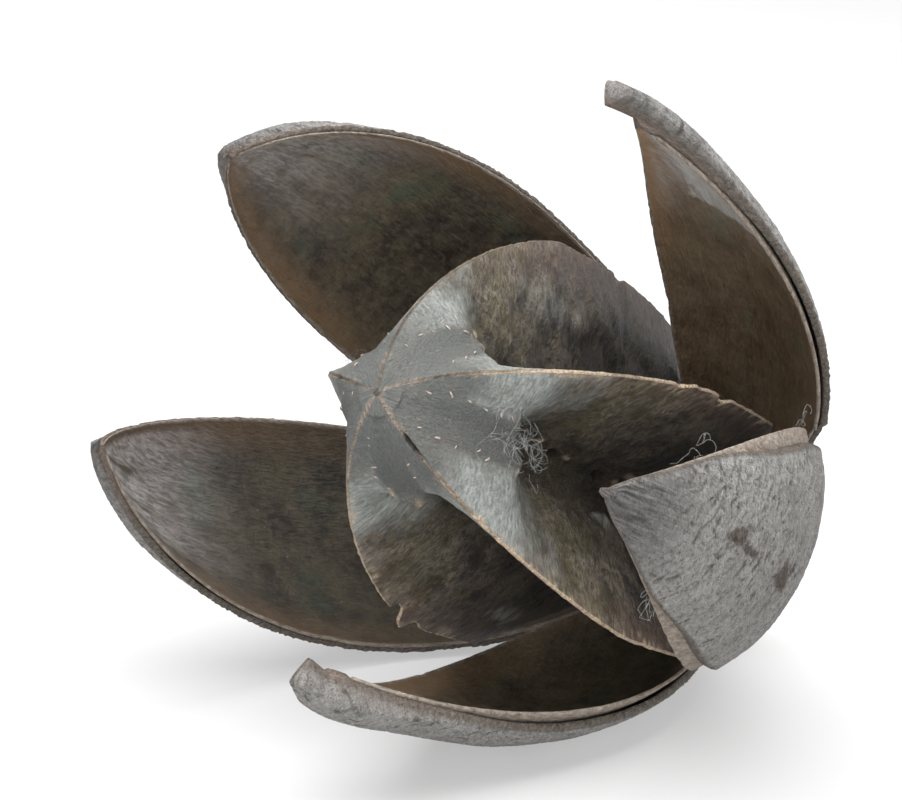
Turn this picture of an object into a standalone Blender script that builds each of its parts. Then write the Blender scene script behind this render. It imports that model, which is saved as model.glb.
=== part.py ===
"""Wild lily pod: a dry, woody, five-valved seed capsule that has split open from its tip.

Five boat-shaped valves, each a hard outer shell with a separate inner lining, stay seated on a
small receptacle that ends in a stub of stalk. Between them stands the columella, the five-ridged
column that carried the seeds. The pod lies on its side, on two small flat spots of its valves.

The capsule is drawn in its own frame: the axis is +Z, the valves start round the origin, and the
stalk points to -Z. An empty then tips that frame over and sets the pod down on the floor.
"""

import math

import bmesh
import bpy
import numpy as np
from mathutils import Matrix

MM = 0.001

# How the pod lies: the axis rises from the floor, heads left and forward, and is spun about itself
AXIS_RISE_DEG = 21.6
AXIS_HEADING_DEG = -124.4
AXIS_SPIN_DEG = -133.6
FLOOR_DROP = 11.48 * MM

# The valves: an arc-shaped cross-section that widens and narrows along a curved spine
HUB_RADIUS = 1.9 * MM
CUP_HALF_ANGLE = math.radians(38.2)
OUTLINE_SKEW = 0.888
OUTLINE_FULLNESS = 0.892
BASE_HALF_WIDTH_SHARE = 0.0265
SWING_ENDS_AT = 0.42

# Depths below the lining's ideal face, which is depth zero, outward through the wall
LINING_FACE = -0.25 * MM
LINING_BACK = 0.35 * MM
SHELL_FACE = 0.65 * MM
SHELL_BACK = 1.40 * MM
LINING_STARTS_AT = 0.035
LINING_ENDS_AT = 0.955
SHELF_AT = 0.962
INNERMOST_RADIUS = 0.2 * MM
BEAK_SWELLS_FROM = 0.80
BEAK_END_SHRINK = 0.72

# Where neighbouring valves press side to side near the base, each is trimmed to its own wedge
WEDGE_HALF_ANGLE = math.radians(36.0)
WEDGE_GAP = 0.2 * MM
WEDGE_ENDS_FROM, WEDGE_ENDS_TO = 0.34, 0.58
WEDGE_OPENS_BY = math.radians(40.0)

# Each valve: degrees for the opening at the base, the bend to the tip, the sideways swing, twist
# and lean; millimetres for the length of the spine, half the width and the solid beak
VALVES = (
    dict(opening=59.4, bend=91.3, length=89.0, half_width=12.0, swing=7.3, twist=-1.2, lean=-2.0,
         beak_length=1.8, beak_radius=1.5),
    dict(opening=51.7, bend=54.9, length=75.8, half_width=10.6, swing=-6.8, twist=21.5, lean=0.5,
         beak_length=4.6, beak_radius=3.2),
    dict(opening=52.1, bend=64.6, length=82.4, half_width=12.2, swing=-1.0, twist=-2.0, lean=-0.3,
         beak_length=1.2, beak_radius=1.7),
    dict(opening=51.6, bend=65.4, length=76.6, half_width=10.4, swing=1.4, twist=-10.5, lean=-0.7,
         beak_length=2.4, beak_radius=3.7),
    dict(opening=71.0, bend=105.0, length=87.3, half_width=11.5, swing=-2.7, twist=8.7, lean=0.5,
         beak_length=1.8, beak_radius=1.6),
)
VALVE_PITCH = math.radians(-72.0)
# How far the seam after each valve lies from the middle between the two, because widths differ
SEAM_SHIFTS_DEG = (0.5, 0.0, -1.2, 0.8, 0.0)
ARC_STEPS = 10
SPINE_STEPS = (0.0, 0.035, 0.08, 0.13, 0.18, 0.235, 0.29, 0.35, 0.41, 0.47, 0.53, 0.59, 0.65, 0.71,
               0.77, 0.83, 0.885, 0.93, 0.955)

# The columella: a star of five ridges whose reach follows the closed capsule
COLUMELLA_FOOT = 2.4 * MM
COLUMELLA_LENGTH = 64.7 * MM
COLUMELLA_REACH = 19.6 * MM
BELLY_AT = 0.54
TOP_FULLNESS, TOP_ROUNDING = 1.35, 1.86
FOOT_SHARE, FOOT_FULLNESS, FOOT_ROUNDING = 0.21, 2.67, 2.44
APEX_SHIFT = (-0.6 * MM, 0.5 * MM)
RIDGE_SHARES = (1.05, 0.94, 1.03, 1.0, 0.97)
RIDGE_TURNS_DEG = (2.0, 4.0, 0.2, 2.5, 1.5)
RIDGE_HALF_EDGE = 0.35 * MM
# The seat: below the belly the ridges stay inside the valves' rims
SEAT_LEVEL, SEAT_SLOPE = 0.9 * MM, 0.8
SEAT_BREAK, UPPER_SEAT_SLOPE = 13.0 * MM, 0.62
SEAT_TOP = 26.0 * MM
FREE_RIDGE, FREE_RIDGE_FROM, FREE_RIDGE_SLOPE = 0, 13.0 * MM, 2.6
NECK_RADIUS = 1.5 * MM
NECK_BOTTOM = -1.3 * MM
NECK_TOP = 2.2 * MM
# Near the apex each face is a shallow trough with a raised seed bed along its middle. The bed ends
# in a lip, and below that the faces fall away into deep hollows between thin wings.
LIP_AT, LIP_WIDTH = 0.80, 0.05
APEX_TROUGH, LIP_TROUGH, TROUGH_POWER = 0.74, 0.56, 1.6
HOLLOW_TROUGH, HOLLOW_POWER = 0.27, 2.8
SEED_BED_SHARE, SEED_BED_RISE = 0.30, 0.05
CORE_RADIUS = 2.2 * MM
SECTOR_SHARES = (0.0, 0.07, 0.18, 0.30, 0.38, 0.5, 0.62, 0.70, 0.82, 0.93, 1.0)
COLUMELLA_ROWS = 27

# The receptacle and its stub of stalk: radius and height of the turned outline
BASE_OUTLINE = (
    (2.3, -1.75), (5.3, -0.80), (5.8, -1.05), (5.6, -1.9), (4.7, -3.1), (3.8, -4.3),
    (3.2, -5.6), (2.9, -7.2), (2.8, -8.6), (2.5, -9.0),
)
BASE_TOP_CENTRE, BASE_END_CENTRE = -1.75 * MM, -8.6 * MM
BASE_SIDES = 24

COLOURS = {
    "shell": (0.235, 0.222, 0.212, 1.0),
    "lining": (0.050, 0.038, 0.026, 1.0),
    "columella": (0.060, 0.056, 0.050, 1.0),
    "receptacle": (0.150, 0.105, 0.075, 1.0),
}
ROUGHNESS = {"shell": 0.85, "lining": 0.5, "columella": 0.55, "receptacle": 0.85}
SHARP_ANGLE = math.radians(40.0)


def smooth_step(value, start, end):
    """0 before start, 1 after end, and a smooth rise between."""
    share = min(max((value - start) / (end - start), 0.0), 1.0)
    return share * share * (3.0 - 2.0 * share)


def lying_rotation():
    """The turn from the capsule's frame to the world's."""
    heading = Matrix.Rotation(math.radians(AXIS_HEADING_DEG), 3, "Z")
    tip = Matrix.Rotation(math.radians(90.0 - AXIS_RISE_DEG), 3, "Y")
    spin = Matrix.Rotation(math.radians(AXIS_SPIN_DEG), 3, "Z")
    return heading @ tip @ spin


ROTATION = np.array(lying_rotation())
UP = ROTATION.T @ np.array((0.0, 0.0, 1.0))


def rest_flat(points):
    """Points that would sink through the floor are pressed flat onto it."""
    height = points @ UP
    lift = np.clip(-FLOOR_DROP - height, 0.0, None)
    return points + lift[:, None] * UP


def half_width(valve, s):
    """Half the valve's width at s, a share of its spine; none past the end of the hollow."""
    if s >= 1.0:
        return 0.0
    swell = math.sin(math.pi * s ** OUTLINE_SKEW) ** OUTLINE_FULLNESS
    foot = BASE_HALF_WIDTH_SHARE * max(1.0 - 2.0 * s, 0.0)
    return valve["half_width"] * MM * (swell + foot)


def section_frame(index, s):
    """The spine's point at s, and the section's sideways and inward directions."""
    valve = VALVES[index]
    length = valve["length"] * MM
    opening = math.radians(valve["opening"])
    bend = math.radians(valve["bend"])
    lift = opening - bend * s
    radius = HUB_RADIUS + length / bend * (math.cos(lift) - math.cos(opening))
    height = length / bend * (math.sin(opening) - math.sin(lift))
    swing = math.radians(valve["swing"]) * smooth_step(s, 0.0, SWING_ENDS_AT)
    azimuth = VALVE_PITCH * index + swing
    outward = np.array((math.cos(azimuth), math.sin(azimuth), 0.0))
    across = np.array((-math.sin(azimuth), math.cos(azimuth), 0.0))
    axis = np.array((0.0, 0.0, 1.0))
    inward = -math.cos(lift) * outward + math.sin(lift) * axis
    twist = math.radians(valve["twist"]) * s
    side = math.cos(twist) * across + math.sin(twist) * inward
    normal = -math.sin(twist) * across + math.cos(twist) * inward
    lean = math.radians(valve["lean"]) * s * s * length
    return radius * outward + height * axis + lean * across, side, normal


def arc_point(index, s, angle, depth):
    """A point of the valve's wall: an angle round the section, and a depth through the wall."""
    spine, side, normal = section_frame(index, s)
    arc_radius = half_width(VALVES[index], s) / math.sin(CUP_HALF_ANGLE)
    reach = max(arc_radius + depth, INNERMOST_RADIUS)
    return spine + reach * math.sin(angle) * side + (arc_radius - reach * math.cos(angle)) * normal


def beyond_wedge(index, s, angle, depth, sign):
    """How far a point lies past the plane that divides its valve from the next one."""
    point = arc_point(index, s, angle, depth)
    shift = SEAM_SHIFTS_DEG[index] if sign < 0 else SEAM_SHIFTS_DEG[index - 1]
    opened = WEDGE_OPENS_BY * smooth_step(s, WEDGE_ENDS_FROM, WEDGE_ENDS_TO)
    edge = VALVE_PITCH * index + sign * (WEDGE_HALF_ANGLE + opened) + math.radians(shift)
    return sign * (point[1] * math.cos(edge) - point[0] * math.sin(edge)) + WEDGE_GAP


def rim_angle(index, s, sign):
    """The angle of the rim on one side, trimmed where the neighbour stands."""
    low, high = 0.0, CUP_HALF_ANGLE
    depths = (LINING_FACE, SHELL_BACK)
    if all(beyond_wedge(index, s, sign * high, depth, sign) <= 0.0 for depth in depths):
        return high
    for _ in range(24):
        middle = 0.5 * (low + high)
        if all(beyond_wedge(index, s, sign * middle, depth, sign) <= 0.0 for depth in depths):
            low = middle
        else:
            high = middle
    return low


def wall_ring(index, s, face_depth, back_depth, shrink=1.0):
    """One closed loop of the wall's section: along its back, then home along its face."""
    angles = [
        step * rim_angle(index, s, 1 if step > 0 else -1) * shrink
        for step in np.linspace(-1.0, 1.0, ARC_STEPS + 1)
    ]
    back = [arc_point(index, s, angle, back_depth) for angle in angles]
    face = [arc_point(index, s, angle, face_depth) for angle in reversed(angles)]
    return np.array(back + face)


def shell_rings(index):
    """The outer shell: a thin boat, thickening into a solid beak past the end of the hollow."""
    valve = VALVES[index]
    beak_share = valve["beak_length"] / valve["length"]
    beak_radius = valve["beak_radius"] * MM
    rows = [(s, SHELL_FACE, 1.0) for s in SPINE_STEPS]
    rows += [(SHELF_AT, SHELL_FACE, 1.0)]
    rows += [(s, LINING_FACE, 1.0) for s in (SHELF_AT + 0.012, 1.0)]
    rows += [(1.0 + beak_share * 0.7, LINING_FACE, 1.0)]
    rows += [(1.0 + beak_share, LINING_FACE, BEAK_END_SHRINK)]
    rings = []
    for s, face_depth, shrink in rows:
        swell = smooth_step(s, BEAK_SWELLS_FROM, 1.0)
        back_depth = (SHELL_BACK + (beak_radius - SHELL_BACK) * swell) * shrink
        rings.append(wall_ring(index, s, face_depth, back_depth, shrink))
    return rings


def lining_rings(index):
    """The thin inner lining, lying just inside the shell."""
    steps = [s for s in SPINE_STEPS if LINING_STARTS_AT <= s <= LINING_ENDS_AT]
    return [wall_ring(index, s, LINING_FACE, LINING_BACK) for s in steps]


def ridge_reach(ridge, u):
    """How far a ridge stands out from the axis at u, from foot to apex."""
    if u > BELLY_AT:
        climb = (u - BELLY_AT) / (1.0 - BELLY_AT)
        share = max(1.0 - climb ** TOP_FULLNESS, 0.0) ** (1.0 / TOP_ROUNDING)
    else:
        drop = (BELLY_AT - u) / BELLY_AT
        curve = max(1.0 - drop ** FOOT_FULLNESS, 0.0) ** (1.0 / FOOT_ROUNDING)
        share = FOOT_SHARE + (1.0 - FOOT_SHARE) * curve
    reach = COLUMELLA_REACH * share * RIDGE_SHARES[ridge]
    height = COLUMELLA_FOOT + COLUMELLA_LENGTH * u
    if height < SEAT_TOP:
        seat = SEAT_LEVEL + SEAT_SLOPE * min(height, SEAT_BREAK)
        seat += UPPER_SEAT_SLOPE * max(height - SEAT_BREAK, 0.0)
        if ridge == FREE_RIDGE:
            seat += FREE_RIDGE_SLOPE * max(height - FREE_RIDGE_FROM, 0.0)
        reach = min(reach, seat)
    return reach


def columella_ring(u):
    """One star-shaped section of the columella."""
    height = COLUMELLA_FOOT + COLUMELLA_LENGTH * u
    lip = smooth_step(u, LIP_AT - LIP_WIDTH, LIP_AT + LIP_WIDTH)
    to_apex = smooth_step(u, LIP_AT, 1.0)
    seed_trough = LIP_TROUGH + (APEX_TROUGH - LIP_TROUGH) * to_apex
    trough = HOLLOW_TROUGH + (seed_trough - HOLLOW_TROUGH) * lip
    power = HOLLOW_POWER + (TROUGH_POWER - HOLLOW_POWER) * lip
    points = []
    for ridge in range(5):
        following = (ridge + 1) % 5
        start = VALVE_PITCH * (ridge + 0.5) + math.radians(RIDGE_TURNS_DEG[ridge])
        end = VALVE_PITCH * (ridge + 1.5) + math.radians(RIDGE_TURNS_DEG[following])
        reach_start, reach_end = ridge_reach(ridge, u), ridge_reach(following, u)
        edge = min(RIDGE_HALF_EDGE / max(reach_start, 1e-6), 0.25) / abs(end - start)
        for column in SECTOR_SHARES:
            share = edge + (1.0 - 2.0 * edge) * column
            from_middle = abs(2.0 * column - 1.0)
            bed = SEED_BED_RISE * lip if from_middle < SEED_BED_SHARE else 0.0
            wing = reach_start + (reach_end - reach_start) * share
            reach = wing * (trough + bed + (1.0 - trough - bed) * from_middle ** power)
            reach = max(reach, min(CORE_RADIUS, wing), INNERMOST_RADIUS)
            angle = start + (end - start) * share
            points.append((
                reach * math.cos(angle) + APEX_SHIFT[0] * u,
                reach * math.sin(angle) + APEX_SHIFT[1] * u,
                height,
            ))
    return np.array(points)


def neck_ring(height):
    """A round section of the neck, with the star's own count of points."""
    count = 5 * len(SECTOR_SHARES)
    first = VALVE_PITCH * 0.5
    angles = [first + math.tau * -(step + 0.5) / count for step in range(count)]
    return np.array([
        (NECK_RADIUS * math.cos(angle), NECK_RADIUS * math.sin(angle), height)
        for angle in angles
    ])


def columella_rings():
    """The neck, then the star sections, closer together towards the apex."""
    rings = [neck_ring(NECK_BOTTOM), neck_ring(0.5 * (NECK_BOTTOM + NECK_TOP)), neck_ring(NECK_TOP)]
    for row in range(1, COLUMELLA_ROWS):
        u = 0.5 - 0.5 * math.cos(math.pi * row / COLUMELLA_ROWS)
        rings.append(columella_ring(u))
    return rings


def add_strip_cap(faces, first, count):
    """Closes a crescent-shaped loop with quads from its back to its face."""
    for step in range(count // 2 - 1):
        other = count - 1 - step
        faces.append((first + step, first + step + 1, first + other - 1, first + other))


def mesh_from_rings(name, rings, tips=None):
    """Skins the rings. The ends are crescents, or run to the two tip points if those are given."""
    count = len(rings[0])
    points = [tuple(point) for ring in rings for point in rest_flat(ring)]
    faces = []
    for row in range(len(rings) - 1):
        for step in range(count):
            here, beside = row * count + step, row * count + (step + 1) % count
            faces.append((here, beside, beside + count, here + count))
    last = (len(rings) - 1) * count
    if tips is None:
        add_strip_cap(faces, 0, count)
        add_strip_cap(faces, last, count)
    else:
        for first, tip in ((0, tips[0]), (last, tips[1])):
            points.append(tuple(tip))
            for step in range(count):
                faces.append((first + step, first + (step + 1) % count, len(points) - 1))
    mesh = bpy.data.meshes.new(name)
    mesh.from_pydata(points, [], faces)
    shape = bmesh.new()
    shape.from_mesh(mesh)
    bmesh.ops.recalc_face_normals(shape, faces=shape.faces)
    shape.to_mesh(mesh)
    shape.free()
    mesh.shade_smooth()
    mesh.set_sharp_from_angle(angle=SHARP_ANGLE)
    return mesh


def columella_mesh():
    apex = (APEX_SHIFT[0], APEX_SHIFT[1], COLUMELLA_FOOT + COLUMELLA_LENGTH)
    return mesh_from_rings("columella", columella_rings(), ((0.0, 0.0, NECK_BOTTOM), apex))


def base_mesh():
    angles = [math.tau * side / BASE_SIDES for side in range(BASE_SIDES)]
    rings = [
        np.array([(r * MM * math.cos(angle), r * MM * math.sin(angle), z * MM) for angle in angles])
        for r, z in BASE_OUTLINE
    ]
    return mesh_from_rings("base", rings, ((0.0, 0.0, BASE_TOP_CENTRE), (0.0, 0.0, BASE_END_CENTRE)))


def material_for(name):
    material = bpy.data.materials.new(name)
    material.use_nodes = True
    shader = material.node_tree.nodes["Principled BSDF"]
    shader.inputs["Base Color"].default_value = COLOURS[name]
    shader.inputs["Roughness"].default_value = ROUGHNESS[name]
    shader.inputs["Metallic"].default_value = 0.0
    return material


def clear_scene():
    for old in list(bpy.data.objects):
        bpy.data.objects.remove(old, do_unlink=True)


def add_part(name, mesh, material, frame):
    part = bpy.data.objects.new(name, mesh)
    part.data.materials.append(material)
    part.parent = frame
    bpy.context.collection.objects.link(part)
    return part


def set_down(frame, meshes):
    """Tips the capsule's frame over, with the middle of the pod over the world's origin."""
    points = [vertex.co for mesh in meshes for vertex in mesh.vertices]
    world = np.array([tuple(point) for point in points]) @ ROTATION.T
    middle = 0.5 * (world.min(axis=0) + world.max(axis=0))
    frame.matrix_world = Matrix.Translation((-middle[0], -middle[1], FLOOR_DROP)) @ (
        lying_rotation().to_4x4()
    )


def main():
    clear_scene()
    frame = bpy.data.objects.new("capsule_frame", None)
    bpy.context.collection.objects.link(frame)
    materials = {name: material_for(name) for name in COLOURS}
    meshes = [("base", base_mesh(), "receptacle"), ("columella", columella_mesh(), "columella")]
    for index in range(len(VALVES)):
        shell = mesh_from_rings(f"valve_{index + 1}", shell_rings(index))
        lining = mesh_from_rings(f"lining_{index + 1}", lining_rings(index))
        meshes += [(shell.name, shell, "shell"), (lining.name, lining, "lining")]
    set_down(frame, [mesh for _, mesh, _ in meshes])
    for name, mesh, kind in meshes:
        add_part(name, mesh, materials[kind], frame)


main()
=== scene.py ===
"""Wild lily pod, dressed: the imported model's solids are replaced by finer pieces of the same form.

The capsule is drawn in its own frame, in millimetres: the axis is +Z and the stalk points to -Z.
The function to_world then lays it down where the solids lie.
"""

import math
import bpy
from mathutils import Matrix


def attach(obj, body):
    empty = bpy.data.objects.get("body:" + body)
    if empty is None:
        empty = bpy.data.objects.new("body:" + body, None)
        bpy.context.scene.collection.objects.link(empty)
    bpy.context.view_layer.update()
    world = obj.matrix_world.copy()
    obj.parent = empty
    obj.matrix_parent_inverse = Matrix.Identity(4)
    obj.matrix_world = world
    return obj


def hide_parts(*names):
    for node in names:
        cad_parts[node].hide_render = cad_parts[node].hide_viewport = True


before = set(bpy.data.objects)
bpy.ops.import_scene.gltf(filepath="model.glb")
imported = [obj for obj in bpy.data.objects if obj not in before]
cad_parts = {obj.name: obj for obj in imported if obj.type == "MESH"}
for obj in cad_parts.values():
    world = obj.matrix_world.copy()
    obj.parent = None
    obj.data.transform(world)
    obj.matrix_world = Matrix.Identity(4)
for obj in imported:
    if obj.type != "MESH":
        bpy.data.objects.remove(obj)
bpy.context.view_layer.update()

from types import SimpleNamespace

import bpy
import numpy as np
from mathutils import Matrix, Vector

MM = 0.001

# How the pod lies, and where the middle of the valves' base is
AXIS_RISE_DEG = 21.6
AXIS_HEADING_DEG = -124.4
AXIS_SPIN_DEG = -133.6
FLOOR_DROP = 11.48
CAPSULE_AT = (26.658, 33.478, FLOOR_DROP)

# The camera of the photograph: place in millimetres, directions in degrees
CAMERA_AT = (-13.31, -378.75, 123.65)
CAMERA_HEADING_DEG = 1.754
CAMERA_DROP_DEG = 13.762
CAMERA_ROLL_DEG = 5.570
CAMERA_LENS = 170.85
CAMERA_SENSOR = 36.0
LIGHTS_LOOK_AT = (0.0, 0.0, 0.03)

# The valves: an arc-shaped cross-section that widens and narrows along a curved spine
HUB_RADIUS = 1.9
CUP_HALF_ANGLE = math.radians(38.2)
OUTLINE_SKEW = 0.888
OUTLINE_FULLNESS = 0.892
BASE_HALF_WIDTH_SHARE = 0.0265
SWING_ENDS_AT = 0.42
LINING_FACE = -0.25
LINING_BACK = 0.14
LAYERS_TOUCH_AT = 0.03
SHELL_BACK = 1.26
LINING_STARTS_AT = 0.035
RIM_TAPERS_FROM = 0.70
PLAIN_STEP = 0.35
INNERMOST_RADIUS = 0.2
BEAK_SWELLS_FROM, BEAK_SWELL_POWER = 0.72, 1.6
WEDGE_HALF_ANGLE = math.radians(36.0)
WEDGE_GAP = 0.2
WEDGE_ENDS_FROM, WEDGE_ENDS_TO = 0.34, 0.58
WEDGE_OPENS_BY = math.radians(40.0)
RIM_HALVINGS = 22
LEAST_REACH, LEAST_TURN = 1.2, 2.5
# Each valve's form and look: angles in degrees, lengths in millimetres, the rest as shares. Of a pair,
# the first value is for the rim at negative angles: how much of its thickness it keeps (rims), and how
# far the shell's edge stands back there (steps). From dark_tip on, the values say how strongly a tone
# shows: the dark outside of the tip, the lining's warm tone, its pale streaks near the tip with their
# painted sheen (fan), how light its inside is painted, which stands in for the light and shade that
# falls there (light), and how bare of the painted sheen its side at positive angles is (one_sided)
VALVES = (
    dict(opening=59.4, bend=91.3, length=89.0, half_width=12.0, swing=7.3, twist=-1.2, lean=-2.0,
         beak_length=2.1, beak_radius=1.0, beak_end=0.30, hollow_end=0.982, rims=(0.50, 0.36),
         steps=(0.25, 0.15), gap=0.06, dark_tip=0.8, warmth=0.0, fan=0.8, light=0.55,
         one_sided=0.85),
    dict(opening=51.7, bend=54.9, length=75.8, half_width=10.6, swing=-6.8, twist=21.5, lean=0.5,
         beak_length=4.4, beak_radius=2.45, beak_end=1.02, hollow_end=0.966, rims=(0.92, 0.40),
         steps=(0.6, 0.15), gap=0.32, dark_tip=0.25, warmth=0.40, fan=0.9, light=0.90, one_sided=0.2),
    dict(opening=52.1, bend=64.6, length=82.4, half_width=12.2, swing=-1.0, twist=-2.0, lean=-0.3,
         beak_length=0.2, beak_radius=1.4, beak_end=0.80, hollow_end=0.980, rims=(0.9, 0.9),
         steps=(2.1, 2.1), gap=0.06, dark_tip=1.0, warmth=0.0, fan=0.6, light=0.5, one_sided=0.5),
    dict(opening=51.6, bend=65.4, length=76.6, half_width=10.4, swing=1.4, twist=-10.5, lean=-0.7,
         beak_length=2.2, beak_radius=3.6, beak_end=0.84, hollow_end=0.966, rims=(0.40, 0.95),
         steps=(0.15, 1.5), gap=0.30, dark_tip=0.05, warmth=0.0, fan=0.4, light=0.70, one_sided=0.5),
    dict(opening=71.0, bend=105.0, length=87.3, half_width=11.5, swing=-2.7, twist=8.7, lean=0.5,
         beak_length=2.3, beak_radius=1.0, beak_end=0.30, hollow_end=0.982, rims=(0.42, 0.70),
         steps=(0.2, 0.45), gap=0.20, dark_tip=0.7, warmth=0.0, fan=1.0, light=0.14, one_sided=0.85),
)
VALVE_PITCH = math.radians(-72.0)
SEAM_SHIFTS_DEG = (0.5, 0.0, -1.2, 0.8, 0.0)

# How finely the valves are drawn, and how rough they are
SHELL_ROWS = 300
SHELL_COLUMNS, SHELL_FACE_COLUMNS = 128, 22
LINING_ROWS = 170
LINING_COLUMNS, LINING_BACK_COLUMNS = 64, 16
RIM_POINTS = 4
RIM_CROWN = 0.10
RIM_RAGGEDNESS, NICK_DEPTH, RIM_ROUGHNESS = 0.16, 0.12, 0.12
WRINKLE_DEPTH, STREAK_DEPTH = 0.50, 0.13
NET_ACROSS, NET_ALONG = 0.85, 0.48
UNDULATION_DEPTH = 0.14
LINING_RIM_RECESS = 0.12
# The valve whose lining gets a strip of painted sheen near the tip
SHEEN_STRIP_VALVE = 1
FAN_CENTRE = 1.02

# The shell's sections near the tip, as shares of the valve's length: a shelf closes the hollow, and
# the solid beak ends round
SHELF_GAP, SHELF_RISE = 0.003, 0.007
SHELF_STEPS = (0.0, 0.002, 0.004, 0.007)
SOLID_FROM, SOLID_ROWS = 0.009, 6
BEAK_ROWS = 12
END_STEPS = (0.0028, 0.0045, 0.0054, 0.0054)
END_CLOSING = (0.12, 0.35, 0.62, 0.90)

# What keeps the textures of two pieces apart
FLOW_PITCH, LINING_FLOW_SHIFT = 40.0, 17.0

# The columella: a star of five ridges whose reach follows the closed capsule
COLUMELLA_FOOT = 2.4
COLUMELLA_LENGTH = 64.7
COLUMELLA_REACH = 19.6
BELLY_AT = 0.54
TOP_FULLNESS, TOP_ROUNDING = 1.35, 1.86
FOOT_SHARE, FOOT_FULLNESS, FOOT_ROUNDING = 0.21, 2.67, 2.44
APEX_SHIFT = (-0.6, 0.5)
RIDGE_SHARES = (1.05, 0.94, 1.03, 1.0, 0.97)
RIDGE_TURNS_DEG = (2.0, 4.0, 0.2, 2.5, 1.5)
RIDGE_HALF_EDGE = 0.20
RIDGE_PALENESS = (0.10, 0.95, 1.0, 0.85, 0.4)
# Where the painted sheen on the slopes starts along each ridge, as a share of the column's length
PAINTED_SHEEN_STARTS = (0.80, 0.73, 0.71, 0.75, 0.75)
SEAT_LEVEL, SEAT_SLOPE = 0.9, 0.8
SEAT_BREAK, UPPER_SEAT_SLOPE = 13.0, 0.62
SEAT_TOP = 26.0
FREE_RIDGE, FREE_RIDGE_FROM, FREE_RIDGE_SLOPE, FREE_RIDGE_BLEND = 0, 10.5, 3.0, 7.0
NECK_RADIUS = 1.5
NECK_BOTTOM = -1.3
NECK_TOP = 2.2
NECK_HEIGHTS = (NECK_BOTTOM, -0.6, 0.4, 1.3, NECK_TOP)
LIPS_AT, LIP_WIDTH = (0.835, 0.79, 0.845, 0.84, 0.83), 0.030
APEX_TROUGH, LIP_TROUGH, TROUGH_POWER = 0.71, 0.60, 1.6
HOLLOW_TROUGH, HOLLOW_POWER = 0.27, 2.8
BED_SHARE_AT_LIP, BED_SHARE_AT_APEX, SEED_BED_RISE = 0.34, 0.58, 0.045
BED_WIDENS_FROM, BED_WIDENS_TO = 0.84, 0.98
CORE_RADIUS = 2.2
FACE_COLUMNS, COLUMN_CROWDING = 72, 0.035
EDGE_POINTS, EDGE_ANGLE_LIMIT = 6, 0.25
COLUMELLA_ROWS = 240

# The receptacle and its stub of stalk: radius and height of the turned outline
BASE_OUTLINE = (
    (0.4, -1.75), (2.3, -1.75), (4.2, -1.1), (5.3, -0.80), (5.8, -1.05), (5.75, -1.5), (5.6, -1.9),
    (4.7, -3.1), (3.8, -4.3), (3.2, -5.6), (2.9, -7.2), (2.8, -8.6), (2.5, -9.0), (1.2, -8.8),
    (0.3, -8.6),
)
BASE_SIDES, BASE_ROWS = 72, 60


def lying_rotation():
    """The turn from the capsule's frame to the world's."""
    heading = Matrix.Rotation(math.radians(AXIS_HEADING_DEG), 3, "Z")
    tip = Matrix.Rotation(math.radians(90.0 - AXIS_RISE_DEG), 3, "Y")
    spin = Matrix.Rotation(math.radians(AXIS_SPIN_DEG), 3, "Z")
    return heading @ tip @ spin


ROTATION = np.array(lying_rotation())
UP = ROTATION.T @ np.array((0.0, 0.0, 1.0))


def to_world(points):
    """Capsule millimetres to world metres, pressed flat where they would sink into the floor."""
    lift = np.clip(-FLOOR_DROP - points @ UP, 0.0, None)
    placed = (points + lift[..., None] * UP) @ ROTATION.T + np.array(CAPSULE_AT)
    return placed * MM


def smooth_step(value, start, end):
    """From 0 at the start to 1 at the end, with a soft turn at both."""
    share = np.clip((value - start) / (end - start), 0.0, 1.0)
    return share * share * (3.0 - 2.0 * share)


# Noise with its own hash, so that every run gives the same surface


def lattice_hash(cell, seed):
    """A whole number for each lattice cell."""
    mixed = cell[..., 0] * 374761393 + cell[..., 1] * 668265263 + cell[..., 2] * 2147483647
    mixed = (mixed + seed * 1274126177) & 0xFFFFFFFF
    mixed = ((mixed ^ (mixed >> 13)) * 1274126177) & 0xFFFFFFFF
    return mixed ^ (mixed >> 16)


def gradient_noise(points, seed):
    """Smooth noise between about -1 and 1, with features about one unit across."""
    cell = np.floor(points).astype(np.int64)
    inside = points - cell
    fade = inside * inside * inside * (inside * (inside * 6.0 - 15.0) + 10.0)
    total = np.zeros(points.shape[:-1])
    for corner in np.ndindex(2, 2, 2):
        offset = np.array(corner)
        value = lattice_hash(cell + offset, seed)
        turn = (value & 1023) / 1024.0 * math.tau
        rise = ((value >> 10) & 1023) / 511.5 - 1.0
        flat = np.sqrt(np.clip(1.0 - rise * rise, 0.0, None))
        away = inside - offset
        slope = flat * np.cos(turn) * away[..., 0] + flat * np.sin(turn) * away[..., 1]
        slope += rise * away[..., 2]
        weight = np.prod(np.where(offset, fade, 1.0 - fade), axis=-1)
        total += weight * slope
    return total * 1.5


def fractal_noise(points, octaves, gain, seed):
    """Noise summed over octaves, each twice as fine as the last and weaker by the gain."""
    total = np.zeros(points.shape[:-1])
    size, reach = 1.0, 0.0
    for octave in range(octaves):
        total += size * gradient_noise(points * 2.0 ** octave, seed + octave * 17)
        reach += size
        size *= gain
    return total / reach


def ridged_noise(points, octaves, seed):
    """Meandering raised threads: 1 on the threads and towards 0 between them."""
    total = np.zeros(points.shape[:-1])
    size, reach = 1.0, 0.0
    for octave in range(octaves):
        total += size * (1.0 - np.abs(gradient_noise(points * 1.9 ** octave, seed + octave * 31)))
        reach += size
        size *= 0.55
    return total / reach


# The valves


def half_width(valve, s):
    """Half the width of a valve's opening at s, which runs from 0 at its foot to 1 at its tip."""
    inside = np.clip(s, 0.0, 1.0)
    swell = np.clip(np.sin(np.pi * inside ** OUTLINE_SKEW), 0.0, None) ** OUTLINE_FULLNESS
    foot = BASE_HALF_WIDTH_SHARE * np.clip(1.0 - 2.0 * inside, 0.0, None)
    return np.where(s >= 1.0, 0.0, valve["half_width"] * (swell + foot))


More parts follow.
